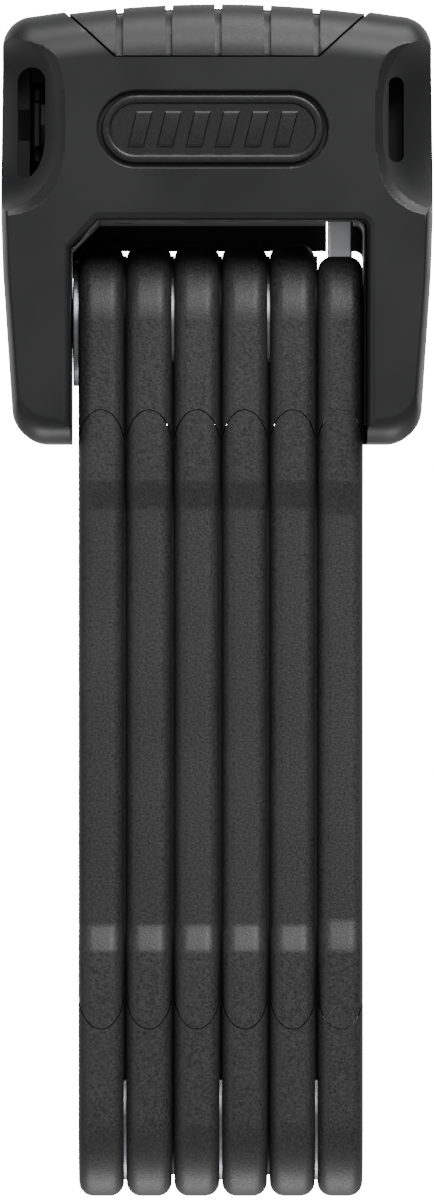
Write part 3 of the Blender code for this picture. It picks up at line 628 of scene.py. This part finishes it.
def core_room(name):
    """The space that the steel core fills inside the shells."""
    wide, bottom, top, front, rear = CORE_ROOM
    half = [(wide, bottom), (wide, top - 4), (wide - 4, top)]
    block = prism(name, mirrored(half), front, rear, "Y")
    plan = [(wide - 6, front), (wide, front + 6), (wide, rear - 2), (wide - 2, rear)]
    block = keep_inside(block, prism("plan", mirrored(plan), -60, 20, "Z"))
    brow = [(front - 1, top - 5.5), (front + 4.5, top)]
    brow += [(front + 4.5, top + 5), (front - 1, top + 5)]
    return cut(block, prism("brow", brow, -40, 40, "X"))


def scoop(name, centre, height):
    """A shallow dish across the front corner, round in plan and boxy in height."""
    shape = bmesh.new()
    bmesh.ops.create_uvsphere(shape, u_segments=200, v_segments=120, radius=1)
    for corner in shape.verts:
        across = math.hypot(corner.co.x, corner.co.y)
        corner.co /= (across**SCOOP_POWER + abs(corner.co.z) ** SCOOP_POWER) ** (1 / SCOOP_POWER)
    size = Matrix.Diagonal((SCOOP_RADIUS * MM, SCOOP_RADIUS * MM, height * MM, 1))
    place = Matrix.Translation((centre[0] * MM, centre[1] * MM, SCOOP_Z * MM))
    shape.transform(place @ size)
    return from_bmesh(name, shape)


def scoop_cutters():
    """Both scoops, each with a second dish that eases the edge on the front face."""
    cutters = []
    for x in (LEFT_SCOOP_X, RIGHT_SCOOP_X):
        eased_x = x - math.copysign(SCOOP_EASE[0], x)
        cutters.append(scoop("scoop", (x, SCOOP_Y), SCOOP_HEIGHT))
        cutters.append(scoop("edge", (eased_x, SCOOP_Y - SCOOP_EASE[1]), SCOOP_EASE_HEIGHT))
    return cutters


def thumb_slot():
    """The D-shaped slot in the left scoop."""
    outline = arc(THUMB_TOP, THUMB_TOP_RADIUS, 180, 0, 24)
    outline += arc(THUMB_BELLY, THUMB_BELLY_RADII, 0, -90, 24)
    outline += arc(THUMB_FOOT, THUMB_FOOT_RADIUS, -90, -180, 8)
    return prism("thumb_slot", outline, -HEAD_DEPTH - 2, THUMB_SLOT_END, "Y")


def bracket_slot():
    """The narrow slot in the right scoop."""
    centre_x, centre_z = BRACKET_SLOT_CENTRE
    width, height = BRACKET_SLOT_SIZE
    outline = [(centre_x - v, centre_z + u) for u, v in stadium((0, 0), (height, width), 12)]
    return prism("bracket_slot", outline, -HEAD_DEPTH - 2, BRACKET_SLOT_END, "Y")


def keyhole():
    return rod("keyhole", 6.5, -38, -29, "X", (KEY_AXIS.y, KEY_AXIS.z), 64)


def pad_seat():
    seat_shape = [(x + math.copysign(0.25, x), z - 0.25) for x, z in PAD_SHAPE]
    seat = prism("pad_seat", seat_shape, -HEAD_DEPTH - 2, PAD_REAR + 0.3, "Y")
    return cut(seat, head_solid("seat_floor", inset=2.3))


def badge_seat():
    """A stadium pocket whose rim is broken by a small slope."""
    sections = []
    for y, grow in ((-40, 1.0), (-38.1, 1.0), (-37.75, 0.62), (-37.5, 0.55), (BADGE_SEAT, 0.55)):
        size = (BADGE_SIZE[0] + 2 * grow, BADGE_SIZE[1] + 2 * grow)
        sections.append([(x, y, z) for x, z in stadium(BADGE_CENTRE, size, 32)])
    return loft("badge_seat", sections)


def make_front_shell(material):
    shell = cut(
        head_solid("front_cover", rear=False),
        core_room("core_room"),
        recess_cutter(RECESS_CEILING, RECESS_RIGHT, -HEAD_DEPTH, 1, -15),
        *scoop_cutters(),
        keyhole(),
        badge_seat(),
    )
    shell = cut(shell, thumb_slot(), bracket_slot(), pad_seat())
    shell = soften(shell, 0.3)
    finished(shell, material, "lock_body", "shell", "front_shell")


def make_rear_shell(material):
    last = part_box(f"bar_{BAR_COUNT}_steel")
    middle = (last[0].x + last[1].x) / 2 / MM
    half = TONGUE_HALF + 0.1
    slot_top = last[1].z / MM + 0.8
    slot = box("slot", (middle - half, -26.3, REAR_LIP_CEILING - 1), (middle + half, 2, slot_top))
    holes = []
    for i, place in enumerate(SCREWS):
        holes.append(rod(f"hole_{i}", 1.5, -5, 1, "Y", place, 24))
        holes.append(rod(f"head_room_{i}", 2.8, -2.4, 1, "Y", place, 48))
    shell = cut(
        head_solid("rear_cover", front=False),
        core_room("core_room"),
        recess_cutter(REAR_LIP_CEILING, REAR_RECESS_RIGHT, 0, -1, -23),
        keyhole(),
        pad_seat(),
        slot,
        *holes,
    )
    shell = soften(shell, 0.3)
    finished(shell, material, "lock_body", "shell", "rear_shell")


def make_grip(material):
    """Six raised tiles on one rubber strip that wraps the top front edge."""
    pad = prism("grip", PAD_SHAPE, -HEAD_DEPTH - 2, PAD_REAR, "Y")
    pad = keep_inside(pad, head_solid("pad_skin", inset=0.35))
    grooves = []
    for i in range(GROOVE_COUNT):
        x = TILE_CENTRE + (i - (GROOVE_COUNT - 1) / 2) * TILE_PITCH
        half = GROOVE_WIDTH / 2
        groove = box(f"groove_{i}", (x - half, -HEAD_DEPTH - 2, 0), (x + half, 0, 20))
        grooves.append(cut(groove, head_solid("groove_floor", inset=1.3)))
    pad = cut(pad, head_solid("pad_underside", inset=2.0), *grooves)
    pad = soften(pad, 0.32, 3, 35)
    finished(pad, material, "lock_body", "grip", "grip_pad")


def make_badge(material):
    """A stadium plate with a rounded rim around a sunk field."""
    rim = (
        (0.0, -37.0), (0.0, -37.45), (0.08, -37.65), (0.25, -37.77), (0.45, BADGE_FRONT),
        (0.9, BADGE_FRONT), (1.1, -37.77), (1.24, -37.68), (1.32, -37.5), (1.45, -37.35),
    )
    sections = []
    for inset, y in rim:
        size = (BADGE_SIZE[0] - 2 * inset, BADGE_SIZE[1] - 2 * inset)
        sections.append([(x, y, z) for x, z in stadium(BADGE_CENTRE, size, 32)])
    plate = loft("badge", sections)
    finished(plate, material, "lock_body", "badge", "badge_plate")


# ---------------------------------------------------------------- geometry nodes


class Tree:
    """A geometry node tree under construction, with named inputs."""

    def __init__(self, name, sizes):
        self.group = bpy.data.node_groups.new(name, "GeometryNodeTree")
        face = self.group.interface
        for label, kind in sizes.items():
            face.new_socket(label, in_out="INPUT", socket_type=kind)
        face.new_socket("Geometry", in_out="OUTPUT", socket_type="NodeSocketGeometry")
        self.inputs = self.group.nodes.new("NodeGroupInput")
        self.output = self.group.nodes.new("NodeGroupOutput")

    def add(self, kind, settings=None, output=0, **inputs):
        node = self.group.nodes.new(kind)
        for name, value in (settings or {}).items():
            setattr(node, name, value)
        for name, value in inputs.items():
            socket = next(s for s in node.inputs if s.name == name.replace("_", " ") and s.enabled)
            if isinstance(value, bpy.types.NodeSocket):
                self.group.links.new(value, socket)
            else:
                socket.default_value = value
        return node.outputs[output]

    def end(self, geometry):
        solid = self.add("GeometryNodeRealizeInstances", Geometry=geometry)
        painted = self.add(
            "GeometryNodeSetMaterial", Geometry=solid, Material=self.inputs.outputs["Material"]
        )
        self.group.links.new(painted, self.output.inputs[0])
        return self.group


def grown(name, group, values):
    """A plain mesh from a node tree and the values of its named inputs."""
    thing = new_object(name, bpy.data.meshes.new(name))
    modifier = thing.modifiers.new(name, "NODES")
    modifier.node_group = group
    for item in group.interface.items_tree:
        if item.in_out == "INPUT":
            modifier[item.identifier] = values[item.name]
    return bake(thing)


def washer_tree():
    """A flat ring with rounded edges, standing across X at a place."""
    sizes = {
        "Bore": "NodeSocketFloat",
        "Radius": "NodeSocketFloat",
        "Thickness": "NodeSocketFloat",
        "Edge": "NodeSocketFloat",
        "Place": "NodeSocketVector",
        "Material": "NodeSocketMaterial",
    }
    tree = Tree("washer", sizes)
    given = tree.inputs.outputs
    math_node = "ShaderNodeMath"
    total = tree.add(math_node, {"operation": "ADD"}, Value=given["Bore"])
    tree.group.links.new(given["Radius"], total.node.inputs[1])
    middle = tree.add(math_node, {"operation": "MULTIPLY"}, Value=total)
    middle.node.inputs[1].default_value = 0.5
    width = tree.add(math_node, {"operation": "SUBTRACT"}, Value=given["Radius"])
    tree.group.links.new(given["Bore"], width.node.inputs[1])
    path = tree.add("GeometryNodeCurvePrimitiveCircle", Resolution=72, Radius=middle)
    section = tree.add(
        "GeometryNodeCurvePrimitiveQuadrilateral", Width=width, Height=given["Thickness"]
    )
    section = tree.add(
        "GeometryNodeFilletCurve", {"mode": "POLY"}, Curve=section, Count=3, Radius=given["Edge"]
    )
    ring = tree.add("GeometryNodeCurveToMesh", Curve=path, Profile_Curve=section)
    turn = (0.0, math.pi / 2, 0.0)
    ring = tree.add(
        "GeometryNodeTransform", Geometry=ring, Translation=given["Place"], Rotation=turn
    )
    return tree.end(ring)


def slanted_bar_tree():
    """A row of leaning bars with sloped edges, facing -Y."""
    sizes = {
        "Count": "NodeSocketInt",
        "Pitch": "NodeSocketVector",
        "Start": "NodeSocketVector",
        "Bar Size": "NodeSocketVector",
        "Lean": "NodeSocketFloat",
        "Rise": "NodeSocketFloat",
        "Material": "NodeSocketMaterial",
    }
    tree = Tree("slanted_bars", sizes)
    given = tree.inputs.outputs
    cube = tree.add("GeometryNodeMeshCube", Size=given["Bar Size"])
    normal = tree.add("ShaderNodeSeparateXYZ", None, 1, Vector=tree.add("GeometryNodeInputNormal"))
    front = tree.add("FunctionNodeCompare", {"operation": "LESS_THAN"}, A=normal, B=-0.5)
    raised = tree.add(
        "GeometryNodeExtrudeMesh", Mesh=cube, Selection=front, Offset_Scale=given["Rise"]
    )
    top = raised.node.outputs["Top"]
    bar = tree.add("GeometryNodeScaleElements", Geometry=raised, Selection=top, Scale=0.86)
    where = tree.add("GeometryNodeInputPosition")
    height = tree.add("ShaderNodeSeparateXYZ", None, 2, Vector=where)
    shift = tree.add("ShaderNodeMath", {"operation": "MULTIPLY"}, Value=height)
    tree.group.links.new(given["Lean"], shift.node.inputs[1])
    offset = tree.add("ShaderNodeCombineXYZ", X=shift)
    bar = tree.add("GeometryNodeSetPosition", Geometry=bar, Offset=offset)
    row = tree.add(
        "GeometryNodeMeshLine", Count=given["Count"], Start_Location=given["Start"],
        Offset=given["Pitch"],
    )
    return tree.end(tree.add("GeometryNodeInstanceOnPoints", Points=row, Instance=bar))


def make_badge_relief(material):
    first = BADGE_CENTRE[0] - (BADGE_BARS - 1) / 2 * BADGE_BAR_PITCH
    relief = grown(
        "badge_relief",
        slanted_bar_tree(),
        {
            "Count": BADGE_BARS,
            "Pitch": (BADGE_BAR_PITCH * MM, 0, 0),
            "Start": (first * MM, -37.4 * MM, BADGE_CENTRE[1] * MM),
            "Bar Size": (2.6 * MM, 0.3 * MM, 5.6 * MM),
            "Lean": 0.25,
            "Rise": 0.2 * MM,
            "Material": material,
        },
    )
    finished(relief, material, "lock_body", "badge")


def make_washers(material):
    tree = washer_tree()
    for number in range(BAR_COUNT):
        name = "washer_body_1" if number == 0 else f"washer_{number}_{number + 1}"
        low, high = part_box(name)
        ring = grown(
            f"polished_{name}",
            tree,
            {
                "Bore": 4.6 * MM,
                "Radius": (high.z - low.z) / 2,
                "Thickness": high.x - low.x,
                "Edge": 0.25 * MM,
                "Place": (low + high) / 2,
                "Material": material,
            },
        )
        body = "lock_body" if number == 0 else f"bar_{number}"
        finished(ring, material, body, "washer", name)


# ---------------------------------------------------------------- bars


def bar_middle(number):
    low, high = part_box(f"bar_{number}_steel")
    return (low.x + high.x) / 2 / MM


def seam_region(grow):
    """The stretch of a skin between its two curved seams, seen from the front."""
    spacing = TOP_PIVOT.z - BOTTOM_PIVOT.z
    wide, outer = SEAM_HALF_WIDTH + grow, SKIN_HALF + 2
    low, high = BOTTOM_SEAM - grow, spacing - TOP_SEAM + grow
    outline = [(outer, low), (outer, high)]
    outline += arc((0, high), (wide, SEAM_HEIGHT), 0, 180, 28)
    outline += [(-outer, high), (-outer, low)]
    outline += arc((0, low), (wide, SEAM_HEIGHT), 180, 360, 28)
    return prism("seam_region", outline, -SKIN_RADIUS - 2, SKIN_RADIUS + 2, "Y")


def land_outline(inset):
    """An oval around both pivots of a bar, as (y, z) from the lower one."""
    spacing = TOP_PIVOT.z - BOTTOM_PIVOT.z
    wide = LAND_HALF_WIDTH - inset
    low, high = (reach - inset for reach in LAND_ENDS)
    half = arc((0, 0), (wide, low), -90, 0, 14)
    return mirrored(half + arc((0, spacing), (wide, high), 0, 90, 14))


def land(right):
    """A raised loop on a skin's right side, which rests against the next skin."""
    loop = prism("land", land_outline(0), ROOM_HALF + 0.2, right, "X")
    return cut(loop, prism("middle", land_outline(LAND_WIDTH), 0, right + 1, "X"))


def whole_skin(slope=SHOULDER_SLOPE, flat_top=None, raised=True):
    """A bar's coating before it is split: its long edges are rounded over."""
    sections = []
    steps = 7
    for side in (-1, 1):
        for i in range(steps + 1):
            angle = math.radians(90 * (i if side < 0 else steps - i) / steps)
            inset = SKIN_EDGE * (1 - math.sin(angle))
            x = side * (SKIN_HALF - SKIN_EDGE * (1 - math.cos(angle)))
            top = None if flat_top is None else flat_top - inset
            sections.append([(x, y, z) for y, z in bar_outline(inset, slope, top)])
    outer = loft("skin", sections)
    if raised:
        outer = join(outer, land(bar_middle(2) - bar_middle(1) - SKIN_HALF))
    room_top = None if flat_top is None else flat_top - SKIN_WALL
    outline = bar_outline(SKIN_WALL, slope, room_top)
    return cut(outer, prism("room", outline, -ROOM_HALF, ROOM_HALF, "X"))


def seam_cut():
    """Room for a sleeve in a cap: a thin groove outside, closed along the land."""
    groove = seam_region(SEAM_GAP)
    slabs = []
    for side in (-1, 1):
        low, high = sorted((side * (LAND_HALF_WIDTH - LAND_WIDTH - 0.2), side * (LAND_HALF_WIDTH + 0.2)))
        slabs.append(box(f"slab_{side}", (-20, low, -30), (20, high, 170)))
    return seam_region(0), cut(groove, *slabs)


def windows(height, washer_side):
    """Openings in a cap for the joint's washer and for the rivet's head."""
    tools = []
    for radius, side in ((WASHER_WINDOW, washer_side), (RIVET_WINDOW, -washer_side)):
        low, high = sorted((side * 2.9, side * 4.6))
        tools.append(rod(f"window_{side}", radius, low, high, "X", (0, height), 64))
    return tools


def make_skin_models():
    """The jacket pieces that bars share, each in its bar's own frame."""
    spacing = TOP_PIVOT.z - BOTTOM_PIVOT.z
    middle = spacing / 2
    models = {"sleeve": keep_inside(whole_skin(), seam_region(0))}
    models["last_sleeve"] = keep_inside(whole_skin(LAST_BAR_SLOPE, None, False), seam_region(0))
    for side in (-1, 1):
        bottom = cut(whole_skin(), box("away", (-20, -20, middle), (20, 20, 170)))
        models["bottom", side] = cut(bottom, *seam_cut(), *windows(0, side))
        top = cut(whole_skin(), box("away", (-20, -20, -30), (20, 20, middle)))
        models["top", side] = cut(top, *seam_cut(), *windows(spacing, side))
    half, width = TONGUE_HALF + 0.15, TONGUE_WIDTH + 0.15
    opening = box("opening", (-half, -width, spacing), (half, width, 170))
    top = whole_skin(LAST_BAR_SLOPE, LAST_BAR_TOP, False)
    top = cut(top, box("away", (-20, -20, -30), (20, 20, middle)))
    models["last_top"] = cut(top, *seam_cut(), opening)
    bottom = whole_skin(LAST_BAR_SLOPE, None, False)
    bottom = cut(bottom, box("away", (-20, -20, middle), (20, 20, 170)))
    models["last_bottom"] = cut(bottom, *seam_cut(), *windows(0, -1))
    return {key: soften(model, 0.1, 1, 45) for key, model in models.items()}


def copy_at(model, name, x):
    """A model's mesh, moved to its bar."""
    mesh = model.data.copy()
    place = Vector((x, BOTTOM_PIVOT.y, BOTTOM_PIVOT.z)) * MM
    mesh.transform(Matrix.Translation(place))
    return new_object(name, mesh)


def make_bars(coating, plating):
    models = make_skin_models()
    for number in BARS:
        side = 1 if number % 2 else -1
        last = number == BAR_COUNT
        parts = {
            "sleeve": models["last_sleeve" if last else "sleeve"],
            "bottom_cap": models["last_bottom"] if last else models["bottom", side],
            "top_cap": models["last_top"] if last else models["top", -side],
        }
        for part, model in parts.items():
            piece = copy_at(model, f"link_{number}_{part}", bar_middle(number))
            finished(piece, coating, f"bar_{number}", "bar_coating", f"bar_{number}_{part}")
    for model in models.values():
        bpy.data.objects.remove(model)
    make_tongue_bar(plating)


def make_tongue_bar(plating):
    """The last steel bar, drawn out into the plated tongue with a countersunk eye."""
    spacing = TOP_PIVOT.z - BOTTOM_PIVOT.z
    outline = bar_outline(SKIN_WALL + 0.3, LAST_BAR_SLOPE, LAST_BAR_TOP - 1.3)
    bar = prism("tongue_bar", outline, -STEEL_HALF, STEEL_HALF, "X")
    tip = spacing + EYE_HEIGHT
    outline = [(-TONGUE_WIDTH, spacing), (TONGUE_WIDTH, spacing)]
    outline += arc((0, tip), TONGUE_WIDTH, 0, 180, 40)
    tongue = soften(prism("tongue", outline, -TONGUE_HALF, TONGUE_HALF, "X"), 0.35, 3, 50)
    bar = join(bar, tongue)
    eye = [(0, 6), (EYE_RADIUS + 4.4, 6), (EYE_RADIUS, TONGUE_HALF - 0.3)]
    eye += [(EYE_RADIUS, 0.3 - TONGUE_HALF), (EYE_RADIUS + 4.4, -6), (0, -6)]
    cutter = turned("eye", eye, 64)
    cutter.data.transform(Matrix.Translation((0, 0, tip * MM)))
    bar = cut(bar, cutter, rod("hole", RIVET_SHANK + 0.3, -6, 6, "X", (0, 0), 48))
    piece = copy_at(bar, "tongue_link", bar_middle(BAR_COUNT))
    bpy.data.objects.remove(bar)
    last = f"bar_{BAR_COUNT}"
    finished(piece, plating, last, "tongue_steel", f"{last}_steel")


def rivet_profile(low, high):
    """A rivet with low domed heads, from one face to the other."""
    dome = [(RIVET_HEAD * math.sin(a), high - 0.22 * (1 - math.cos(a * 0.9))) for a in
            [math.radians(t) for t in range(0, 80, 10)]]
    upper = dome + [(RIVET_HEAD, high - 0.3), (RIVET_HEAD, high - RIVET_RISE)]
    upper.append((RIVET_SHANK, high - RIVET_RISE))
    lower = [(radius, low + high - x) for radius, x in reversed(upper)]
    return upper + lower


def make_rivets(material):
    for number in range(BAR_COUNT):
        name = "rivet_body_1" if number == 0 else f"rivet_{number}_{number + 1}"
        low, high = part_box(name)
        piece = turned(f"set_{name}", rivet_profile(low.x / MM, high.x / MM))
        middle = (low + high) / 2
        piece.data.transform(Matrix.Translation((0, middle.y, middle.z)))
        body = "lock_body" if number == 0 else f"bar_{number}"
        finished(piece, material, body, "rivet", name)


def make_screws(material):
    for number, (x, z) in enumerate(SCREWS, start=1):
        profile = [(0, 36.3), (1.0, 36.3), (1.2, 36.0), (1.2, 2.1), (2.3, 2.1), (2.5, 1.9)]
        profile += [(2.5, 0.75), (2.38, 0.5), (2.15, 0.36), (1.9, 0.3), (0, 0.3)]
        screw = cut(turned("screw", profile, 40), rod("socket", 1.1, 0, 1.5, "X", (0, 0), 6))
        turn = Matrix.Rotation(math.radians(-90), 4, "Z")
        screw.data.transform(Matrix.Translation((x * MM, 0, z * MM)) @ turn)
        screw.name = f"cover_screw_{number}"
        finished(screw, material, "lock_body", "fastener", f"shell_screw_{number}")


def paint_inner_pieces(finishes):
    """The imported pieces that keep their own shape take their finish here."""
    looks = {
        "black": ["lock_body_core", "keyhole_cover", "cylinder_housing", "retaining_ring"],
        "steel": ["cylinder_pin", "sidebar", "drive_cam", "bolt_spring"],
        "plated": ["locking_bolt"],
        "brass": ["cylinder_plug"] + [f"detainer_disc_{n}" for n in range(1, 5)],
    }
    looks["black"] += [f"bar_{number}_steel" for number in BARS[:-1]]
    for look, nodes in looks.items():
        for node in nodes:
            mesh = frame["nodes"][node].data
            mesh.materials.clear()
            mesh.materials.append(finishes[look])


# ---------------------------------------------------------------- stage, lights, camera


def make_stage():
    finish = Finish("pale_floor", 0.8)
    cloud = finish.noise(2, 2)
    finish.set("Base Color", finish.between(cloud, (0.8, 0.8, 0.8), (0.84, 0.84, 0.84)))
    shape = bmesh.new()
    place = Matrix.Translation((0, 0, -1.2))
    bmesh.ops.create_circle(shape, cap_ends=True, segments=96, radius=6, matrix=place)
    floor = from_bmesh("floor", shape)
    floor.data.materials.append(finish.material)


def make_world(seen=18.0, front=0.22, back=1.2):
    """A white surround. It is seen as white, and lights the lock mostly from behind."""
    world = bpy.data.worlds.new("studio")
    world.use_nodes = True
    tree = world.node_tree
    background = tree.nodes["Background"]
    background.inputs["Color"].default_value = (1, 1, 1, 1)
    direction = tree.nodes.new("ShaderNodeTexCoord")
    parts = tree.nodes.new("ShaderNodeSeparateXYZ")
    depth = tree.nodes.new("ShaderNodeMapRange")
    span = {"From Min": 0.2, "From Max": 0.9, "To Min": front, "To Max": back}
    for name, value in span.items():
        depth.inputs[name].default_value = value
    path = tree.nodes.new("ShaderNodeLightPath")
    choice = tree.nodes.new("ShaderNodeMapRange")
    choice.inputs["To Max"].default_value = seen
    tree.links.new(direction.outputs["Generated"], parts.inputs[0])
    tree.links.new(parts.outputs["Y"], depth.inputs["Value"])
    tree.links.new(depth.outputs[0], choice.inputs["To Min"])
    tree.links.new(path.outputs["Is Camera Ray"], choice.inputs["Value"])
    tree.links.new(choice.outputs[0], background.inputs["Strength"])
    bpy.context.scene.world = world


def add_light(name, place, target, size, power):
    data = bpy.data.lights.new(name, "AREA")
    data.shape = "RECTANGLE"
    data.size, data.size_y = size
    data.energy = power
    lamp = bpy.data.objects.new(name, data)
    lamp.location = place
    lamp.rotation_euler = (Vector(target) - Vector(place)).to_track_quat("-Z", "Y").to_euler()
    bpy.context.scene.collection.objects.link(lamp)


def make_lights():
    aim = (0, -0.02, -0.06)
    add_light("key_box", (0.4, -1.0, 0.75), aim, (0.6, 0.5), 17)
    add_light("top_box", (0.15, -0.25, 1.0), aim, (0.8, 0.4), 9)
    add_light("front_fill", (-0.05, -0.5, 0.25), (0, -0.02, 0), (0.25, 0.2), 0.45)
    add_light("left_fill", (-0.8, -0.7, 0.0), aim, (0.3, 1.0), 1.5)
    add_light("under_box", (0, 0.25, -1.0), (0, -0.02, -0.12), (0.8, 0.4), 6)


def make_camera(distance=2.0, seen_height=0.1912, plane_y=-0.022, centre_z=-0.0769):
    """A long lens, square on to the front, that sees a given height at a given depth."""
    data = bpy.data.cameras.new("camera")
    data.lens = data.sensor_width * distance / seen_height
    camera = bpy.data.objects.new("camera", data)
    camera.location = (0, plane_y - distance, centre_z)
    camera.rotation_euler = (math.radians(90), 0, 0)
    bpy.context.scene.collection.objects.link(camera)
    bpy.context.scene.camera = camera


FINISHES = {
    "shell": satin_plastic(),
    "grip": grip_rubber(),
    "badge": badge_plastic(),
    "coating": grained_coating(),
    "black": black_steel(),
    "plated": plated_steel(),
    "steel": bright_steel(),
    "brass": machined_brass(),
}
make_front_shell(FINISHES["shell"])
make_rear_shell(FINISHES["shell"])
make_grip(FINISHES["grip"])
make_badge(FINISHES["badge"])
make_badge_relief(FINISHES["badge"])
make_bars(FINISHES["coating"], FINISHES["plated"])
make_rivets(FINISHES["black"])
make_washers(FINISHES["steel"])
make_screws(FINISHES["steel"])
paint_inner_pieces(FINISHES)
make_stage()
make_world()
make_lights()
make_camera()
